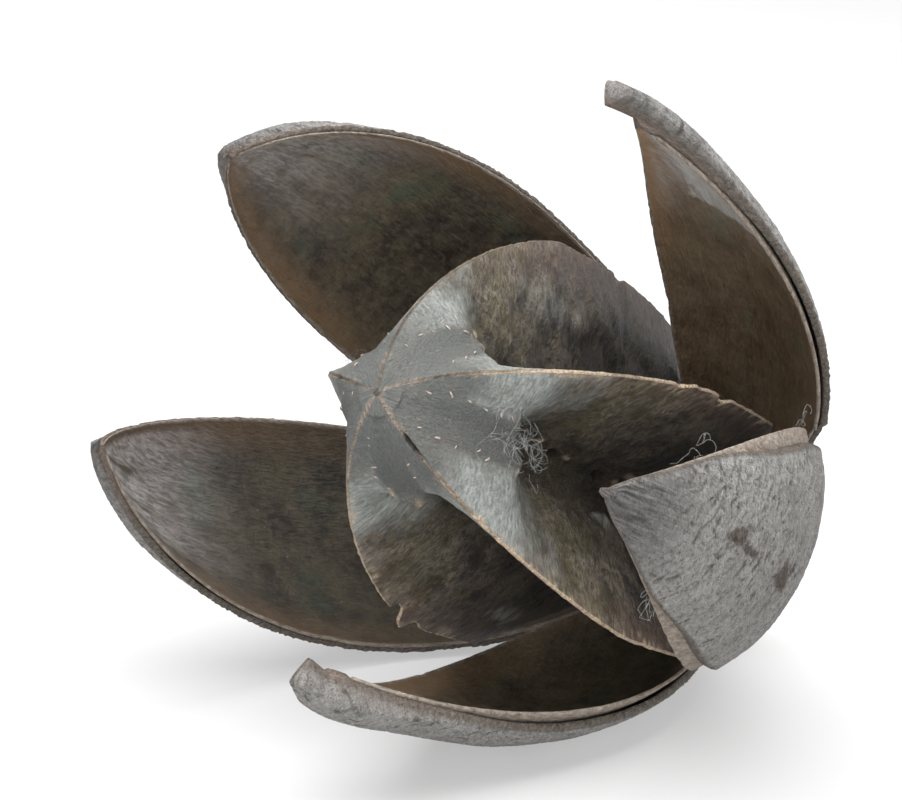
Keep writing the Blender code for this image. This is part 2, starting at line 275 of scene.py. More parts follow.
def section_frame(index, s):
    """The spine's points at s, and the sections' sideways and inward directions."""
    valve = VALVES[index]
    length = valve["length"]
    opening, bend = math.radians(valve["opening"]), math.radians(valve["bend"])
    lift = opening - bend * s
    radius = HUB_RADIUS + length / bend * (np.cos(lift) - math.cos(opening))
    height = length / bend * (math.sin(opening) - np.sin(lift))
    azimuth = VALVE_PITCH * index + math.radians(valve["swing"]) * smooth_step(s, 0, SWING_ENDS_AT)
    flat = np.zeros_like(azimuth)
    outward = np.stack((np.cos(azimuth), np.sin(azimuth), flat), axis=-1)
    across = np.stack((-np.sin(azimuth), np.cos(azimuth), flat), axis=-1)
    axis = np.array((0.0, 0.0, 1.0))
    inward = -np.cos(lift)[..., None] * outward + np.sin(lift)[..., None] * axis
    twist = (math.radians(valve["twist"]) * s)[..., None]
    side = np.cos(twist) * across + np.sin(twist) * inward
    normal = -np.sin(twist) * across + np.cos(twist) * inward
    lean = (math.radians(valve["lean"]) * s * s * length)[..., None]
    spine = radius[..., None] * outward + height[..., None] * axis + lean * across
    return spine, side, normal


def arc_points(index, s, angle, depth):
    """Points of the valve's wall: angles round the section, and depths through the wall."""
    spine, side, normal = section_frame(index, s)
    arc_radius = half_width(VALVES[index], s) / math.sin(CUP_HALF_ANGLE)
    reach = np.maximum(arc_radius + depth, INNERMOST_RADIUS)
    along_side = (reach * np.sin(angle))[..., None] * side
    return spine + along_side + (arc_radius - reach * np.cos(angle))[..., None] * normal


def beyond_wedge(index, s, angle, depth, sign):
    """How far points lie past the plane that divides their valve from the next one."""
    point = arc_points(index, s, angle, depth)
    shift = SEAM_SHIFTS_DEG[index] if sign < 0 else SEAM_SHIFTS_DEG[index - 1]
    opened = WEDGE_OPENS_BY * smooth_step(s, WEDGE_ENDS_FROM, WEDGE_ENDS_TO)
    edge = VALVE_PITCH * index + sign * (WEDGE_HALF_ANGLE + opened) + math.radians(shift)
    return sign * (point[..., 1] * np.cos(edge) - point[..., 0] * np.sin(edge)) + WEDGE_GAP


def rim_angles(index, s, sign):
    """The angles of the rim on one side, trimmed where the neighbour stands."""

    def clear(angle):
        depths = (LINING_FACE, SHELL_BACK)
        return np.all([beyond_wedge(index, s, sign * angle, d, sign) <= 0 for d in depths], axis=0)

    low, high = np.zeros_like(s), np.full_like(s, CUP_HALF_ANGLE)
    free = clear(high)
    for _ in range(RIM_HALVINGS):
        middle = 0.5 * (low + high)
        good = clear(middle)
        low, high = np.where(good, middle, low), np.where(good, high, middle)
    return np.where(free, CUP_HALF_ANGLE, low)


def rim_scale(index, s, share):
    """How much of its thickness the wall keeps: less towards the rims that are thin."""
    low, high = VALVES[index]["rims"]
    kept = np.where(share < 0.0, low, high)
    thin = smooth_step(np.abs(share), RIM_TAPERS_FROM, 1.0) * smooth_step(s, 0.10, 0.35)
    return 1.0 - (1.0 - kept) * thin


def edge_step(index, s, share):
    """How far the outside of the cut edge stands back from the inside, in millimetres."""
    low, high = VALVES[index]["steps"]
    step = np.where(share < 0.0, low, high)
    plain = np.minimum(step, PLAIN_STEP) * (1.0 - smooth_step(s, 0.90, 0.98))
    broad = np.clip(step - PLAIN_STEP, 0.0, None) * (1.0 - smooth_step(s, 0.64, 0.86))
    return (plain + broad) * smooth_step(s, 0.10, 0.30)


def gap_opening(index, s):
    """The gap between the layers: it opens along the middle of the valve and closes to both ends."""
    opening = smooth_step(s, 0.15, 0.40) * (1.0 - smooth_step(s, 0.74, 0.90))
    return LAYERS_TOUCH_AT + VALVES[index]["gap"] * opening


def wall_layout(back_columns, face_columns):
    """Points round a closed section: share across, share from back to face, and the rim's crown."""
    back = np.linspace(-1.0, 1.0, back_columns)
    face = np.linspace(1.0, -1.0, face_columns)
    rim = (np.arange(RIM_POINTS) + 1.0) / (RIM_POINTS + 1.0)
    share = np.concatenate((back, np.ones(RIM_POINTS), face, -np.ones(RIM_POINTS)))
    through = np.concatenate((np.zeros(back_columns), rim, np.ones(face_columns), rim[::-1]))
    crown = np.sin(np.pi * through) ** 0.7
    return share, through, crown


def ragged_rim(index, s, sign, reach, recess, seed):
    """How far one rim falls short of its ideal line, as an angle."""
    along = s * VALVES[index]["length"]
    place = np.stack((along * 0.55, np.full_like(along, 3.7 * sign), np.full_like(along, index))).T
    ragged = fractal_noise(place, 4, 0.6, seed)
    nicks = smooth_step(gradient_noise(place * 0.6, seed + 5), 0.42, 0.6) * NICK_DEPTH
    calm = smooth_step(s, 0.02, 0.12) * (1.0 - smooth_step(s, 0.86, 0.95))
    return ((np.abs(ragged) * RIM_RAGGEDNESS + nicks) * calm + recess) / reach


def wall(index, s, shrink, columns, back_depth, face_depth, recess, seed):
    """A valve's wall before its relief: rows along s, and a closed section round each of them."""
    share, through, crown = wall_layout(*columns)
    rows = s[:, None]
    arc_radius = half_width(VALVES[index], s) / math.sin(CUP_HALF_ANGLE)
    reach = np.maximum(arc_radius + SHELL_BACK, LEAST_REACH)
    low, high = (
        (rim_angles(index, s, sign) * shrink - ragged_rim(index, s, sign, reach, recess, seed))[:, None]
        for sign in (-1, 1)
    )
    arc_radius, reach = arc_radius[:, None], reach[:, None]
    depth = back_depth[:, None] + (face_depth - back_depth)[:, None] * through
    slant = np.clip((depth - LINING_BACK) / (SHELL_BACK - LINING_BACK), 0.0, 1.0)
    stepped = np.where(depth > LINING_BACK + 0.5 * LAYERS_TOUCH_AT, 0.75 + 0.25 * slant, 0.0)
    stepped = stepped * edge_step(index, rows, share) / reach
    angle = np.where(share < 0, share * (low - stepped), share * (high - stepped))
    angle = angle + np.sign(share) * crown * RIM_CROWN / reach * (np.abs(share) >= 1.0)
    depth = LINING_FACE + (depth - LINING_FACE) * rim_scale(index, rows, share)
    rows, share, through = np.broadcast_arrays(rows, share, through)
    return SimpleNamespace(
        rows=rows, angle=angle, depth=depth, share=share, through=through, arc_radius=arc_radius,
        along=rows * VALVES[index]["length"], on_rim=(through > 0.0) & (through < 1.0),
        round_way=angle * np.maximum(arc_radius + depth, LEAST_TURN),
    )


def from_rim(grid, radius):
    """How far each point of a wall lies from the nearer rim, measured at a radius."""
    return (1.0 - np.abs(grid.share)) * np.maximum(radius, 1.0) * CUP_HALF_ANGLE


def grid_faces(rows, count):
    """The quads between rows of points that close on themselves."""
    first = np.arange(rows - 1)[:, None] * count + np.arange(count)[None, :]
    beside = np.arange(rows - 1)[:, None] * count + (np.arange(count)[None, :] + 1) % count
    return np.stack((first, beside, beside + count, first + count), axis=-1).reshape(-1, 4).tolist()


def closed_faces(rows, count):
    """The quads between the rows, and one polygon over each end."""
    last = (rows - 1) * count
    ends = [list(range(count))[::-1], [last + i for i in range(count)]]
    return grid_faces(rows, count) + ends


def make_piece(name, points, faces, paint, marks, flow, material, node):
    """A mesh object with its masks, which the material's nodes read, riding on the pod."""
    mesh = bpy.data.meshes.new(name)
    mesh.from_pydata(to_world(points.reshape(-1, 3)).tolist(), [], faces)
    mesh.update()
    for label, values in (("paint", paint), ("marks", marks)):
        layer = mesh.attributes.new(label, "FLOAT_COLOR", "POINT")
        layer.data.foreach_set("color", np.clip(values, 0.0, 1.0).astype(np.float32).ravel())
    layer = mesh.attributes.new("flow", "FLOAT_VECTOR", "POINT")
    layer.data.foreach_set("vector", flow.astype(np.float32).ravel())
    mesh.shade_smooth()
    mesh.materials.append(material)
    piece = bpy.data.objects.new(name, mesh)
    bpy.context.scene.collection.objects.link(piece)
    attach(piece, "root")
    if node:
        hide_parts(node)
    outward_normals(mesh)
    return piece


def outward_normals(mesh):
    """Turns every face of a closed mesh to look outward."""
    corners = np.zeros(len(mesh.vertices) * 3)
    mesh.vertices.foreach_get("co", corners)
    corners = corners.reshape(-1, 3)
    mesh.calc_loop_triangles()
    index = np.zeros(len(mesh.loop_triangles) * 3, dtype=np.int64)
    mesh.loop_triangles.foreach_get("vertices", index)
    a, b, c = (corners[index.reshape(-1, 3)[:, k]] for k in range(3))
    if np.sum(np.cross(a, b) * c) < 0.0:
        mesh.flip_normals()


def stacked(*channels):
    """Values or arrays brought to one shape and laid side by side along a last axis."""
    return np.stack(np.broadcast_arrays(*channels), axis=-1).astype(float)


def shell_rows(valve, beak, shelf_at):
    """Where the shell's sections stand: the hollow, its shelf, the solid tip and the beak's end."""
    return np.concatenate((
        np.linspace(0.0, valve["hollow_end"], SHELL_ROWS),
        shelf_at + np.array(SHELF_STEPS),
        np.linspace(shelf_at + SOLID_FROM, 1.0, SOLID_ROWS),
        1.0 + beak * np.linspace(0.08, 1.0, BEAK_ROWS),
        1.0 + beak + np.array(END_STEPS),
    ))


def shell_profile(index, s, beak, shelf_at):
    """Along the shell: how much the rims draw in, and the depths of its outside and its inside."""
    valve = VALVES[index]
    shrink = 1.0 - (1.0 - valve["beak_end"]) * smooth_step(s, 1.0 - beak * 0.2, 1.0 + beak * 1.02)
    swell = smooth_step(s, BEAK_SWELLS_FROM, 1.0) ** BEAK_SWELL_POWER
    back = (SHELL_BACK + (valve["beak_radius"] - SHELL_BACK) * swell) * shrink
    hollow_face = LINING_BACK + gap_opening(index, s)
    face = hollow_face + (LINING_FACE - hollow_face) * smooth_step(s, shelf_at, shelf_at + SHELF_RISE)
    closing = np.zeros_like(s)
    closing[-len(END_CLOSING):] = END_CLOSING
    middle = 0.5 * (back + face)
    return shrink, back + (middle - back) * closing, face + (middle - face) * closing


def shell_relief(index, grid):
    """The net of wrinkles, and how far the skin stands out, in millimetres."""
    along, round_way = grid.along, grid.round_way
    net = stacked((along + round_way) * NET_ACROSS, (round_way - along) * NET_ALONG, 7.0 * index)
    warp = fractal_noise(net * 0.5, 2, 0.5, 3)[..., None] * np.array((1.4, 1.6, 0.0))
    wrinkles = ridged_noise(net + warp, 3, 11 + index) - 0.72
    sharp = 0.32 * np.clip((wrinkles + 0.10) / 0.28, 0.0, 1.0) ** 1.5 - 0.10
    swells = fractal_noise(stacked(along * 0.16, round_way * 0.25, 9.0 * index), 3, 0.5, 8)
    calm_tip = 1.0 - 0.75 * smooth_step(grid.rows, 0.80, 0.97)
    relief = (sharp * WRINKLE_DEPTH + swells * UNDULATION_DEPTH) * calm_tip - 0.06
    streaks = fractal_noise(stacked(along * 0.16, round_way * 2.4, index), 3, 0.6, 21)
    return wrinkles, relief + STREAK_DEPTH * streaks * smooth_step(grid.rows, 0.80, 0.95)


def shell_masks(index, grid, wrinkles, beak, shelf_at):
    """The shell's masks: rim, blotch, dark tip, cut beak; foot, wrinkles (which set painted shade in
    their pits, and paler crests that are partly painted light), unused, outside.
    """
    rows, depth, outside = grid.rows, grid.depth, 1.0 - grid.through
    inner_tip = smooth_step(rows, shelf_at, shelf_at + 0.01) * (grid.through >= 1.0)
    cut = np.maximum(smooth_step(rows, 0.80, 0.95) * grid.on_rim, inner_tip)
    cut = cut * (1.0 - smooth_step(depth, 0.45, 1.1))
    end = smooth_step(rows, 1.0 + beak * 0.97, 1.0 + beak * 1.0)
    past = 1.0 - smooth_step(from_rim(grid, grid.arc_radius + SHELL_BACK), 0.05, 0.35)
    rim = np.clip(np.where(grid.on_rim, 1.0, past), 0.0, 1.0) * (1.0 - smooth_step(depth, 1.0, 1.7))
    tip = smooth_step(rows, 0.80, 0.97) * VALVES[index]["dark_tip"]
    blotch = blotches(index, rows, grid.share) * outside
    paint = stacked(rim, blotch, tip, np.maximum(cut, 0.3 * end))
    foot = 1.0 - smooth_step(rows, 0.02, 0.16)
    return paint, stacked(foot, wrinkles * 1.8 + 0.5, 0.0, outside)


def shell_piece(index, material):
    """The outer shell: wrinkled outside, tan cut rim, and a solid beak at the tip."""
    valve = VALVES[index]
    beak = valve["beak_length"] / valve["length"]
    shelf_at = valve["hollow_end"] + SHELF_GAP
    s = shell_rows(valve, beak, shelf_at)
    shrink, back, face = shell_profile(index, s, beak, shelf_at)
    grid = wall(index, s, shrink, (SHELL_COLUMNS, SHELL_FACE_COLUMNS), back, face, 0.0, 40 + index)
    flow = stacked(grid.along, grid.round_way, grid.depth + FLOW_PITCH * index)
    wrinkles, relief = shell_relief(index, grid)
    grid.depth = grid.depth + relief * smooth_step(1.0 - grid.through, 0.5, 1.0)
    place = stacked(grid.along * 1.5, grid.round_way * 2.0, grid.depth * 2.0)
    rough_rim = fractal_noise(place, 3, 0.6, 60 + index)
    push = np.where(grid.on_rim, np.sign(grid.share) * rough_rim * RIM_ROUGHNESS, 0.0)
    angle = grid.angle + push / np.maximum(grid.arc_radius + 1.5, 1.5)
    points = arc_points(index, grid.rows, angle, grid.depth)
    paint, marks = shell_masks(index, grid, wrinkles, beak, shelf_at)
    return make_piece(
        f"shell_{index + 1}", points, closed_faces(*angle.shape), paint, marks, flow, material,
        f"valve_{index + 1}",
    )


# Brown blotches on the outside: valve, share along, share across, and their radii
BLOTCHES = (
    (2, 0.755, 0.13, 0.032, 0.14),
    (2, 0.715, 0.03, 0.028, 0.07),
    (2, 0.560, -0.06, 0.050, 0.16),
    (0, 0.55, 0.30, 0.05, 0.2),
    (1, 0.40, -0.30, 0.06, 0.2),
    (3, 0.58, 0.20, 0.05, 0.2),
    (4, 0.45, 0.35, 0.05, 0.2),
)


def blotches(index, rows, share):
    """Where the brown blotches of a valve lie, from 0 to 1, with ragged borders."""
    total = np.zeros_like(rows)
    ragged = fractal_noise(stacked(rows * 30.0, share * 5.0, index), 4, 0.65, 77)
    for valve, along, across, long_radius, wide_radius in BLOTCHES:
        if valve == index:
            away = np.hypot((rows - along) / long_radius, (share - across) / wide_radius)
            total = np.maximum(total, 1.0 - smooth_step(away + ragged * 1.8, 0.30, 1.1))
    return total


def painted_sheen_strip(grid, grain, rim_distance):
    """A light strip of painted sheen near the tip, where the lining catches the light, below a border
    that climbs across.
    """
    border = 1.45 * smooth_step(grid.rows, 0.60, 0.70) - 1.0
    sheen_strip = 1.0 - smooth_step(grid.share + 0.25 * grain - border, -0.10, 0.12)
    return sheen_strip * (smooth_step(rim_distance, 0.15, 0.5) * smooth_step(grid.rows, 0.60, 0.66))


def lining_masks(index, grid, rim_distance, grain, swells, fan, at_tip):
    """The lining's masks: rim, warm, sheen_and_pale_marks (painted sheen on the pale streaks near the
    tip), green; light (how bright the inside is painted, for the light and shade it gets) and
    sheen_strip (a strip of painted sheen).
    """
    valve, rows = VALVES[index], grid.rows
    inside = (grid.through >= 1.0).astype(float)
    bare = edge_step(index, rows, grid.share)
    rim = np.where(grid.through < 1.0, 1.0 - smooth_step(rim_distance, bare, bare + 0.9), 0.0)
    rim = np.maximum(rim, np.where(grid.on_rim, 1.0, 1.0 - smooth_step(rim_distance, 0.0, 0.18)))
    warm = 1.0 - smooth_step(rim_distance, 0.4, 5.0)
    warm = warm * (0.35 + 0.65 * smooth_step(rows, 0.35, 0.65))
    warm = np.maximum(warm, valve["warmth"]) * inside
    # Painted sheen on the pale streaks near the tip
    sheen_and_pale_marks = at_tip * smooth_step(fan + 0.3 * grain + 0.3 * swells, -0.50, 0.20) * inside
    sheen_and_pale_marks *= smooth_step(rim_distance, 0.3, 1.5)
    sheen_and_pale_marks *= 1.0 - valve["one_sided"] * smooth_step(grid.share, 0.20, 0.70)
    place = stacked(grid.along * 0.13, grid.round_way * 0.17, 3.0 * index)
    green = smooth_step(fractal_noise(place, 4, 0.55, 33), 0.05, 0.45)
    green *= smooth_step(rim_distance, 2.0, 6.0) * inside
    # A strip of painted sheen, where the inside of one valve catches the light
    sheen_strip = painted_sheen_strip(grid, grain, rim_distance) * inside if index == SHEEN_STRIP_VALVE else 0.0 * rows
    # The light value: how bright the inside is painted, standing in for the light and shade it gets
    return stacked(rim, warm, sheen_and_pale_marks, green), stacked(valve["light"], sheen_strip, 0.0, 0.0)


def lining_piece(index, material):
    """The inner lining: thin, smooth and dark, with its own tan rim."""
    valve = VALVES[index]
    s = np.linspace(LINING_STARTS_AT, valve["hollow_end"], LINING_ROWS)
    plain = np.ones_like(s)
    grid = wall(
        index, s, plain, (LINING_BACK_COLUMNS, LINING_COLUMNS), LINING_BACK * plain,
        LINING_FACE * plain, LINING_RIM_RECESS, 90 + index,
    )
    along, round_way = grid.along, grid.round_way
    flow = stacked(along, round_way, grid.depth + FLOW_PITCH * index + LINING_FLOW_SHIFT)
    rim_distance = from_rim(grid, grid.arc_radius)
    swells = fractal_noise(stacked(along * 0.14, round_way * 0.2, 5.0 * index), 3, 0.5, 4)
    grain = fractal_noise(stacked(along * 0.35, round_way * 1.6, 5.0 * index), 3, 0.6, 6)
    bearing = np.arctan2(round_way, (FAN_CENTRE - grid.rows) * valve["length"])
    fan_place = stacked(along * 0.045, bearing * 17.0, index)
    fan = 0.5 * fractal_noise(fan_place, 3, 0.6, 14) + ridged_noise(fan_place * 0.6, 3, 24) - 0.72
    at_tip = smooth_step(grid.rows, 0.54, 0.84) * valve["fan"]
    margin = smooth_step(rim_distance, 0.4, 2.0)
    relief = 0.18 * swells * margin + 0.06 * grain + 0.24 * fan * at_tip * margin
    points = arc_points(index, grid.rows, grid.angle, grid.depth + (grid.through >= 1.0) * relief)
    paint, marks = lining_masks(index, grid, rim_distance, grain, swells, fan, at_tip)
    return make_piece(
        f"inside_{index + 1}", points, closed_faces(*grid.angle.shape), paint, marks, flow, material,
        f"lining_{index + 1}",
    )


# The columella


def ridge_azimuth(number):
    """The direction in which a ridge points; the count goes on past the last one."""
    return VALVE_PITCH * (number + 0.5) + math.radians(RIDGE_TURNS_DEG[number % 5])


def ridge_reach(ridge, u):
    """How far a ridge stands out from the axis at u, from foot to apex."""
    climb = np.clip((u - BELLY_AT) / (1.0 - BELLY_AT), 0.0, 1.0)
    top = np.clip(1.0 - climb ** TOP_FULLNESS, 0.0, None) ** (1.0 / TOP_ROUNDING)
    drop = np.clip((BELLY_AT - u) / BELLY_AT, 0.0, 1.0)
    curve = np.clip(1.0 - drop ** FOOT_FULLNESS, 0.0, None) ** (1.0 / FOOT_ROUNDING)
    share = np.where(u > BELLY_AT, top, FOOT_SHARE + (1.0 - FOOT_SHARE) * curve)
    reach = COLUMELLA_REACH * share * RIDGE_SHARES[ridge]
    height = COLUMELLA_FOOT + COLUMELLA_LENGTH * u
    seat = SEAT_LEVEL + SEAT_SLOPE * np.minimum(height, SEAT_BREAK)
    seat = seat + UPPER_SEAT_SLOPE * np.clip(height - SEAT_BREAK, 0.0, None)
    if ridge == FREE_RIDGE:
        seat = seat + FREE_RIDGE_SLOPE * np.clip(height - FREE_RIDGE_FROM, 0.0, None)
        share = np.clip(0.5 + (seat - reach) / FREE_RIDGE_BLEND, 0.0, 1.0)
        return seat + (reach - seat) * share - 0.5 * FREE_RIDGE_BLEND * share * (1.0 - share)
    return np.where(height < SEAT_TOP, np.minimum(reach, seat), reach)


# Torn places of the ridges: ridge, place along, half length along, and depth in millimetres
TEARS = (
    (3, 0.608, 0.024, 0.8),
    (3, 0.574, 0.017, -0.7),
    (3, 0.540, 0.018, 0.5),
    (1, 0.612, 0.010, 0.35),
    (1, 0.588, 0.008, -0.25),
    (1, 0.50, 0.020, 0.6),
    (2, 0.30, 0.02, 0.6),
    (4, 0.62, 0.015, 0.7),
    (0, 0.36, 0.02, 0.6),
)


def torn_reach(ridge, u):
    """The ridge's reach with its tears and its ragged edge."""
    reach = ridge_reach(ridge, u)
    ragged = np.abs(fractal_noise(stacked(u * 60.0, 5.0 * ridge, 0.0), 4, 0.6, 51))
    ragged = ragged * 0.35 * smooth_step(u, 0.15, 0.3)
    ragged *= 1.0 - 0.6 * smooth_step(u, 0.70, 0.85)
    reach = reach - ragged
    for torn, at, half_length, deep in TEARS:
        if torn == ridge:
            reach = reach - deep * (1.0 - smooth_step(np.abs(u - at), 0.35 * half_length, half_length))
    return np.maximum(reach, 0.35)


def bed_share(u):
    """How much of a face's width its seed bed takes up: more towards the apex."""
    widening = (BED_SHARE_AT_APEX - BED_SHARE_AT_LIP) * smooth_step(u, BED_WIDENS_FROM, BED_WIDENS_TO)
    return BED_SHARE_AT_LIP + widening


def on_column(reach, angle, u):
    """Points at a reach and an angle round the column's axis, which leans towards its apex."""
    return stacked(
        reach * np.cos(angle) + APEX_SHIFT[0] * u, reach * np.sin(angle) + APEX_SHIFT[1] * u,
        COLUMELLA_FOOT + COLUMELLA_LENGTH * u,
    )


def columella_surface(face, column, u):
    """Points of one face of the star: column runs 0 to 1 from its ridge to the next, u to the apex.

    The other values are the reach of the wing, how far up past the lip a point is, and whether it
    is on the seed bed.
    """
    start, end = ridge_azimuth(face), ridge_azimuth(face + 1)
    reach_start, reach_end = torn_reach(face, u), torn_reach((face + 1) % 5, u)
    smaller = np.maximum(np.minimum(reach_start, reach_end), 0.5)
    edge = np.minimum(RIDGE_HALF_EDGE / smaller, EDGE_ANGLE_LIMIT) / abs(end - start)
    share = edge + (1.0 - 2.0 * edge) * column
    from_middle = np.abs(2.0 * column - 1.0)
    wobble = fractal_noise(stacked(column * 3.0, 0.5, 2.7 * face), 2, 0.4, 9) * 0.05
    lip_at = LIPS_AT[face] + 0.03 * (from_middle - 0.5) + wobble
    soft = LIP_WIDTH * (1.6 + 1.2 * gradient_noise(stacked(column * 2.0, face, 0.0), 45))
    soft = soft + 0.03 * from_middle
    lip = smooth_step(u, lip_at - soft, lip_at + soft)
    to_apex = smooth_step(u, LIPS_AT[face], 1.0)
    seed_trough = LIP_TROUGH + (APEX_TROUGH - LIP_TROUGH) * to_apex
    trough = HOLLOW_TROUGH + (seed_trough - HOLLOW_TROUGH) * lip
    power = HOLLOW_POWER + (TROUGH_POWER - HOLLOW_POWER) * lip
    on_bed = 1.0 - smooth_step(from_middle, bed_share(u) - 0.13, bed_share(u) + 0.13)
    bed = SEED_BED_RISE * lip * on_bed
    wing = reach_start + (reach_end - reach_start) * share
    reach = wing * (trough + bed + (1.0 - trough - bed) * from_middle ** power)
    reach = np.maximum(reach, np.minimum(CORE_RADIUS, wing))
    return on_column(reach, start + (end - start) * share, u), wing, lip, on_bed


def surface_normals(points):
    """Outward normals of a grid of points whose rows climb and whose columns run round."""
    along = np.gradient(points, axis=0)
    around = np.roll(points, -1, axis=1) - np.roll(points, 1, axis=1)
    normal = np.cross(along, around)
    normal /= np.maximum(np.linalg.norm(normal, axis=-1, keepdims=True), 1e-9)
    outward = np.sum(normal * (points * (1.0, 1.0, 0.0)), axis=-1).mean()
    return -normal if outward < 0.0 else normal


def side_value(values, face, column):
    """A value for each ridge, taken across a face from its first ridge to the next."""
    share = smooth_step(column, 0.35, 0.65)
    return values[face] * (1.0 - share) + values[(face + 1) % 5] * share


# Details of the columella's faces: face, place across, place along, half height and half width in
# millimetres, how far it is pushed out, and how dark, cream and pale it is; the dark is painted shade
# in the pits that are pushed in
DETAILS = (
    (1, 0.36, 0.640, 0.75, 0.55, -0.9, 1.0, 0.0, 0.0),
    (1, 0.36, 0.605, 0.60, 0.35, 0.25, 0.0, 0.7, 0.0),
    (1, 0.40, 0.500, 0.80, 0.60, -1.0, 1.0, 0.0, 0.0),
    (1, 0.42, 0.455, 0.70, 0.40, 0.30, 0.0, 0.6, 0.3),
    (1, 0.48, 0.800, 2.10, 1.70, -0.5, 0.45, 0.0, 0.3),
    (1, 0.28, 0.698, 0.45, 0.25, 0.10, 0.0, 0.9, 0.0),
    (1, 0.675, 0.812, 0.30, 0.60, 0.10, 0.0, 0.9, 0.0),
    (1, 0.80, 0.520, 2.20, 0.70, 0.30, 0.0, 0.1, 0.9),
    (1, 0.86, 0.430, 1.50, 0.60, 0.25, 0.0, 0.45, 0.6),
    (1, 0.30, 0.430, 1.60, 0.35, 0.10, 0.0, 0.5, 0.5),
    (0, 0.16, 0.803, 0.30, 0.40, 0.08, 0.0, 0.9, 0.0),
    (0, 0.49, 0.843, 0.30, 0.70, 0.10, 0.0, 0.9, 0.0),
    (0, 0.16, 0.712, 0.50, 0.35, 0.10, 0.0, 0.6, 0.0),
    (0, 0.88, 0.845, 1.10, 0.22, 0.12, 0.0, 0.9, 0.0),
    (0, 0.14, 0.440, 6.00, 3.20, -0.60, 0.55, 0.0, 0.0),
    (0, 0.08, 0.620, 5.00, 2.40, 0.25, 0.0, 0.0, 0.35),
    (0, 0.10, 0.520, 1.20, 1.00, 0.45, 0.0, 0.1, 0.3),
    (2, 0.70, 0.870, 1.50, 0.22, 0.10, 0.0, 0.8, 0.0),
    (2, 0.84, 0.775, 0.70, 0.25, 0.10, 0.0, 0.9, 0.0),
    (2, 0.10, 0.850, 1.60, 0.22, 0.12, 0.0, 0.9, 0.0),
    (2, 0.94, 0.370, 3.20, 1.00, 0.20, 0.0, 0.1, 1.0),
    (3, 0.30, 0.600, 2.00, 1.20, 0.30, 0.0, 0.1, 0.7),
    (4, 0.55, 0.550, 0.90, 0.60, -0.7, 0.9, 0.0, 0.0),
    (4, 0.75, 0.720, 1.80, 0.25, 0.12, 0.0, 0.8, 0.0),
)
# A pale ring on one face: face, place across, place along, radius and breadth in millimetres
PALE_RING = (0, 0.27, 0.770, 1.75, 0.30)


def column_details(points):
    """Small lumps, holes and pale marks: the push, and the dark (painted shade in the holes pushed in),
    cream and pale masks.
    """
    push, dark, cream, pale = (np.zeros(points.shape[:-1]) for _ in range(4))
    ragged = fractal_noise(points * 0.9, 3, 0.6, 57)
    for face, column, u, half_height, half_breadth, out, *tones in DETAILS:
        middle, outward, climb, across = column_place(face, column, u)
        away = points - middle
        size = np.hypot((away @ climb) / half_height, (away @ across) / half_breadth)
        inside = (1.0 - smooth_step(size + 0.8 * ragged, 0.4, 1.15)) * (np.abs(away @ outward) < 2.5)
        push += out * inside
        dark, cream, pale = (
            np.maximum(mask, tone * inside) for mask, tone in zip((dark, cream, pale), tones)
        )
    face, column, u, radius, breadth = PALE_RING
    middle, outward, climb, across = column_place(face, column, u)
    away = points - middle
    ring = np.abs(np.hypot(away @ climb, 0.75 * (away @ across)) - radius) / breadth
    ring = (1.0 - smooth_step(ring, 0.3, 1.3)) * (np.abs(away @ outward) < 2.0)
    return push + 0.16 * ring, dark, cream, np.maximum(pale, 0.35 * ring)


def block(points, **values):
    """Part of the columella's grid: its points, and each value brought to the grid's shape."""
    shape = points.shape[:-1]
    return {"points": points, **{key: np.broadcast_to(value, shape) for key, value in values.items()}}


def face_block(face, u):
    """One face of the star, from just beside its ridge to just beside the next."""
    column = np.linspace(0.0, 1.0, FACE_COLUMNS)
    column = column - COLUMN_CROWDING * np.sin(2.0 * math.tau * column)
    points, wing, lip, on_bed = columella_surface(face, column[None, :], u)
    from_middle = np.abs(2.0 * column[None, :] - 1.0)
    return block(
        points, side=from_middle * wing, height=COLUMELLA_LENGTH * u, wing=wing, lip=lip,
        to_edge=(1.0 - from_middle) * wing, middle=from_middle, face=face, edge=0.0, groove=0.0,
        bed=on_bed * smooth_step(u, LIPS_AT[face] - 0.01, LIPS_AT[face] + 0.06),
        pale=side_value(RIDGE_PALENESS, face, column), start=side_value(PAINTED_SHEEN_STARTS, face, column),
    )


# Where a ridge's split edge stands open: ridge, place along, half length along, half gap in mm
SLITS = (
    (2, 0.968, 0.015, 0.30),
    (4, 0.955, 0.012, 0.30),
)


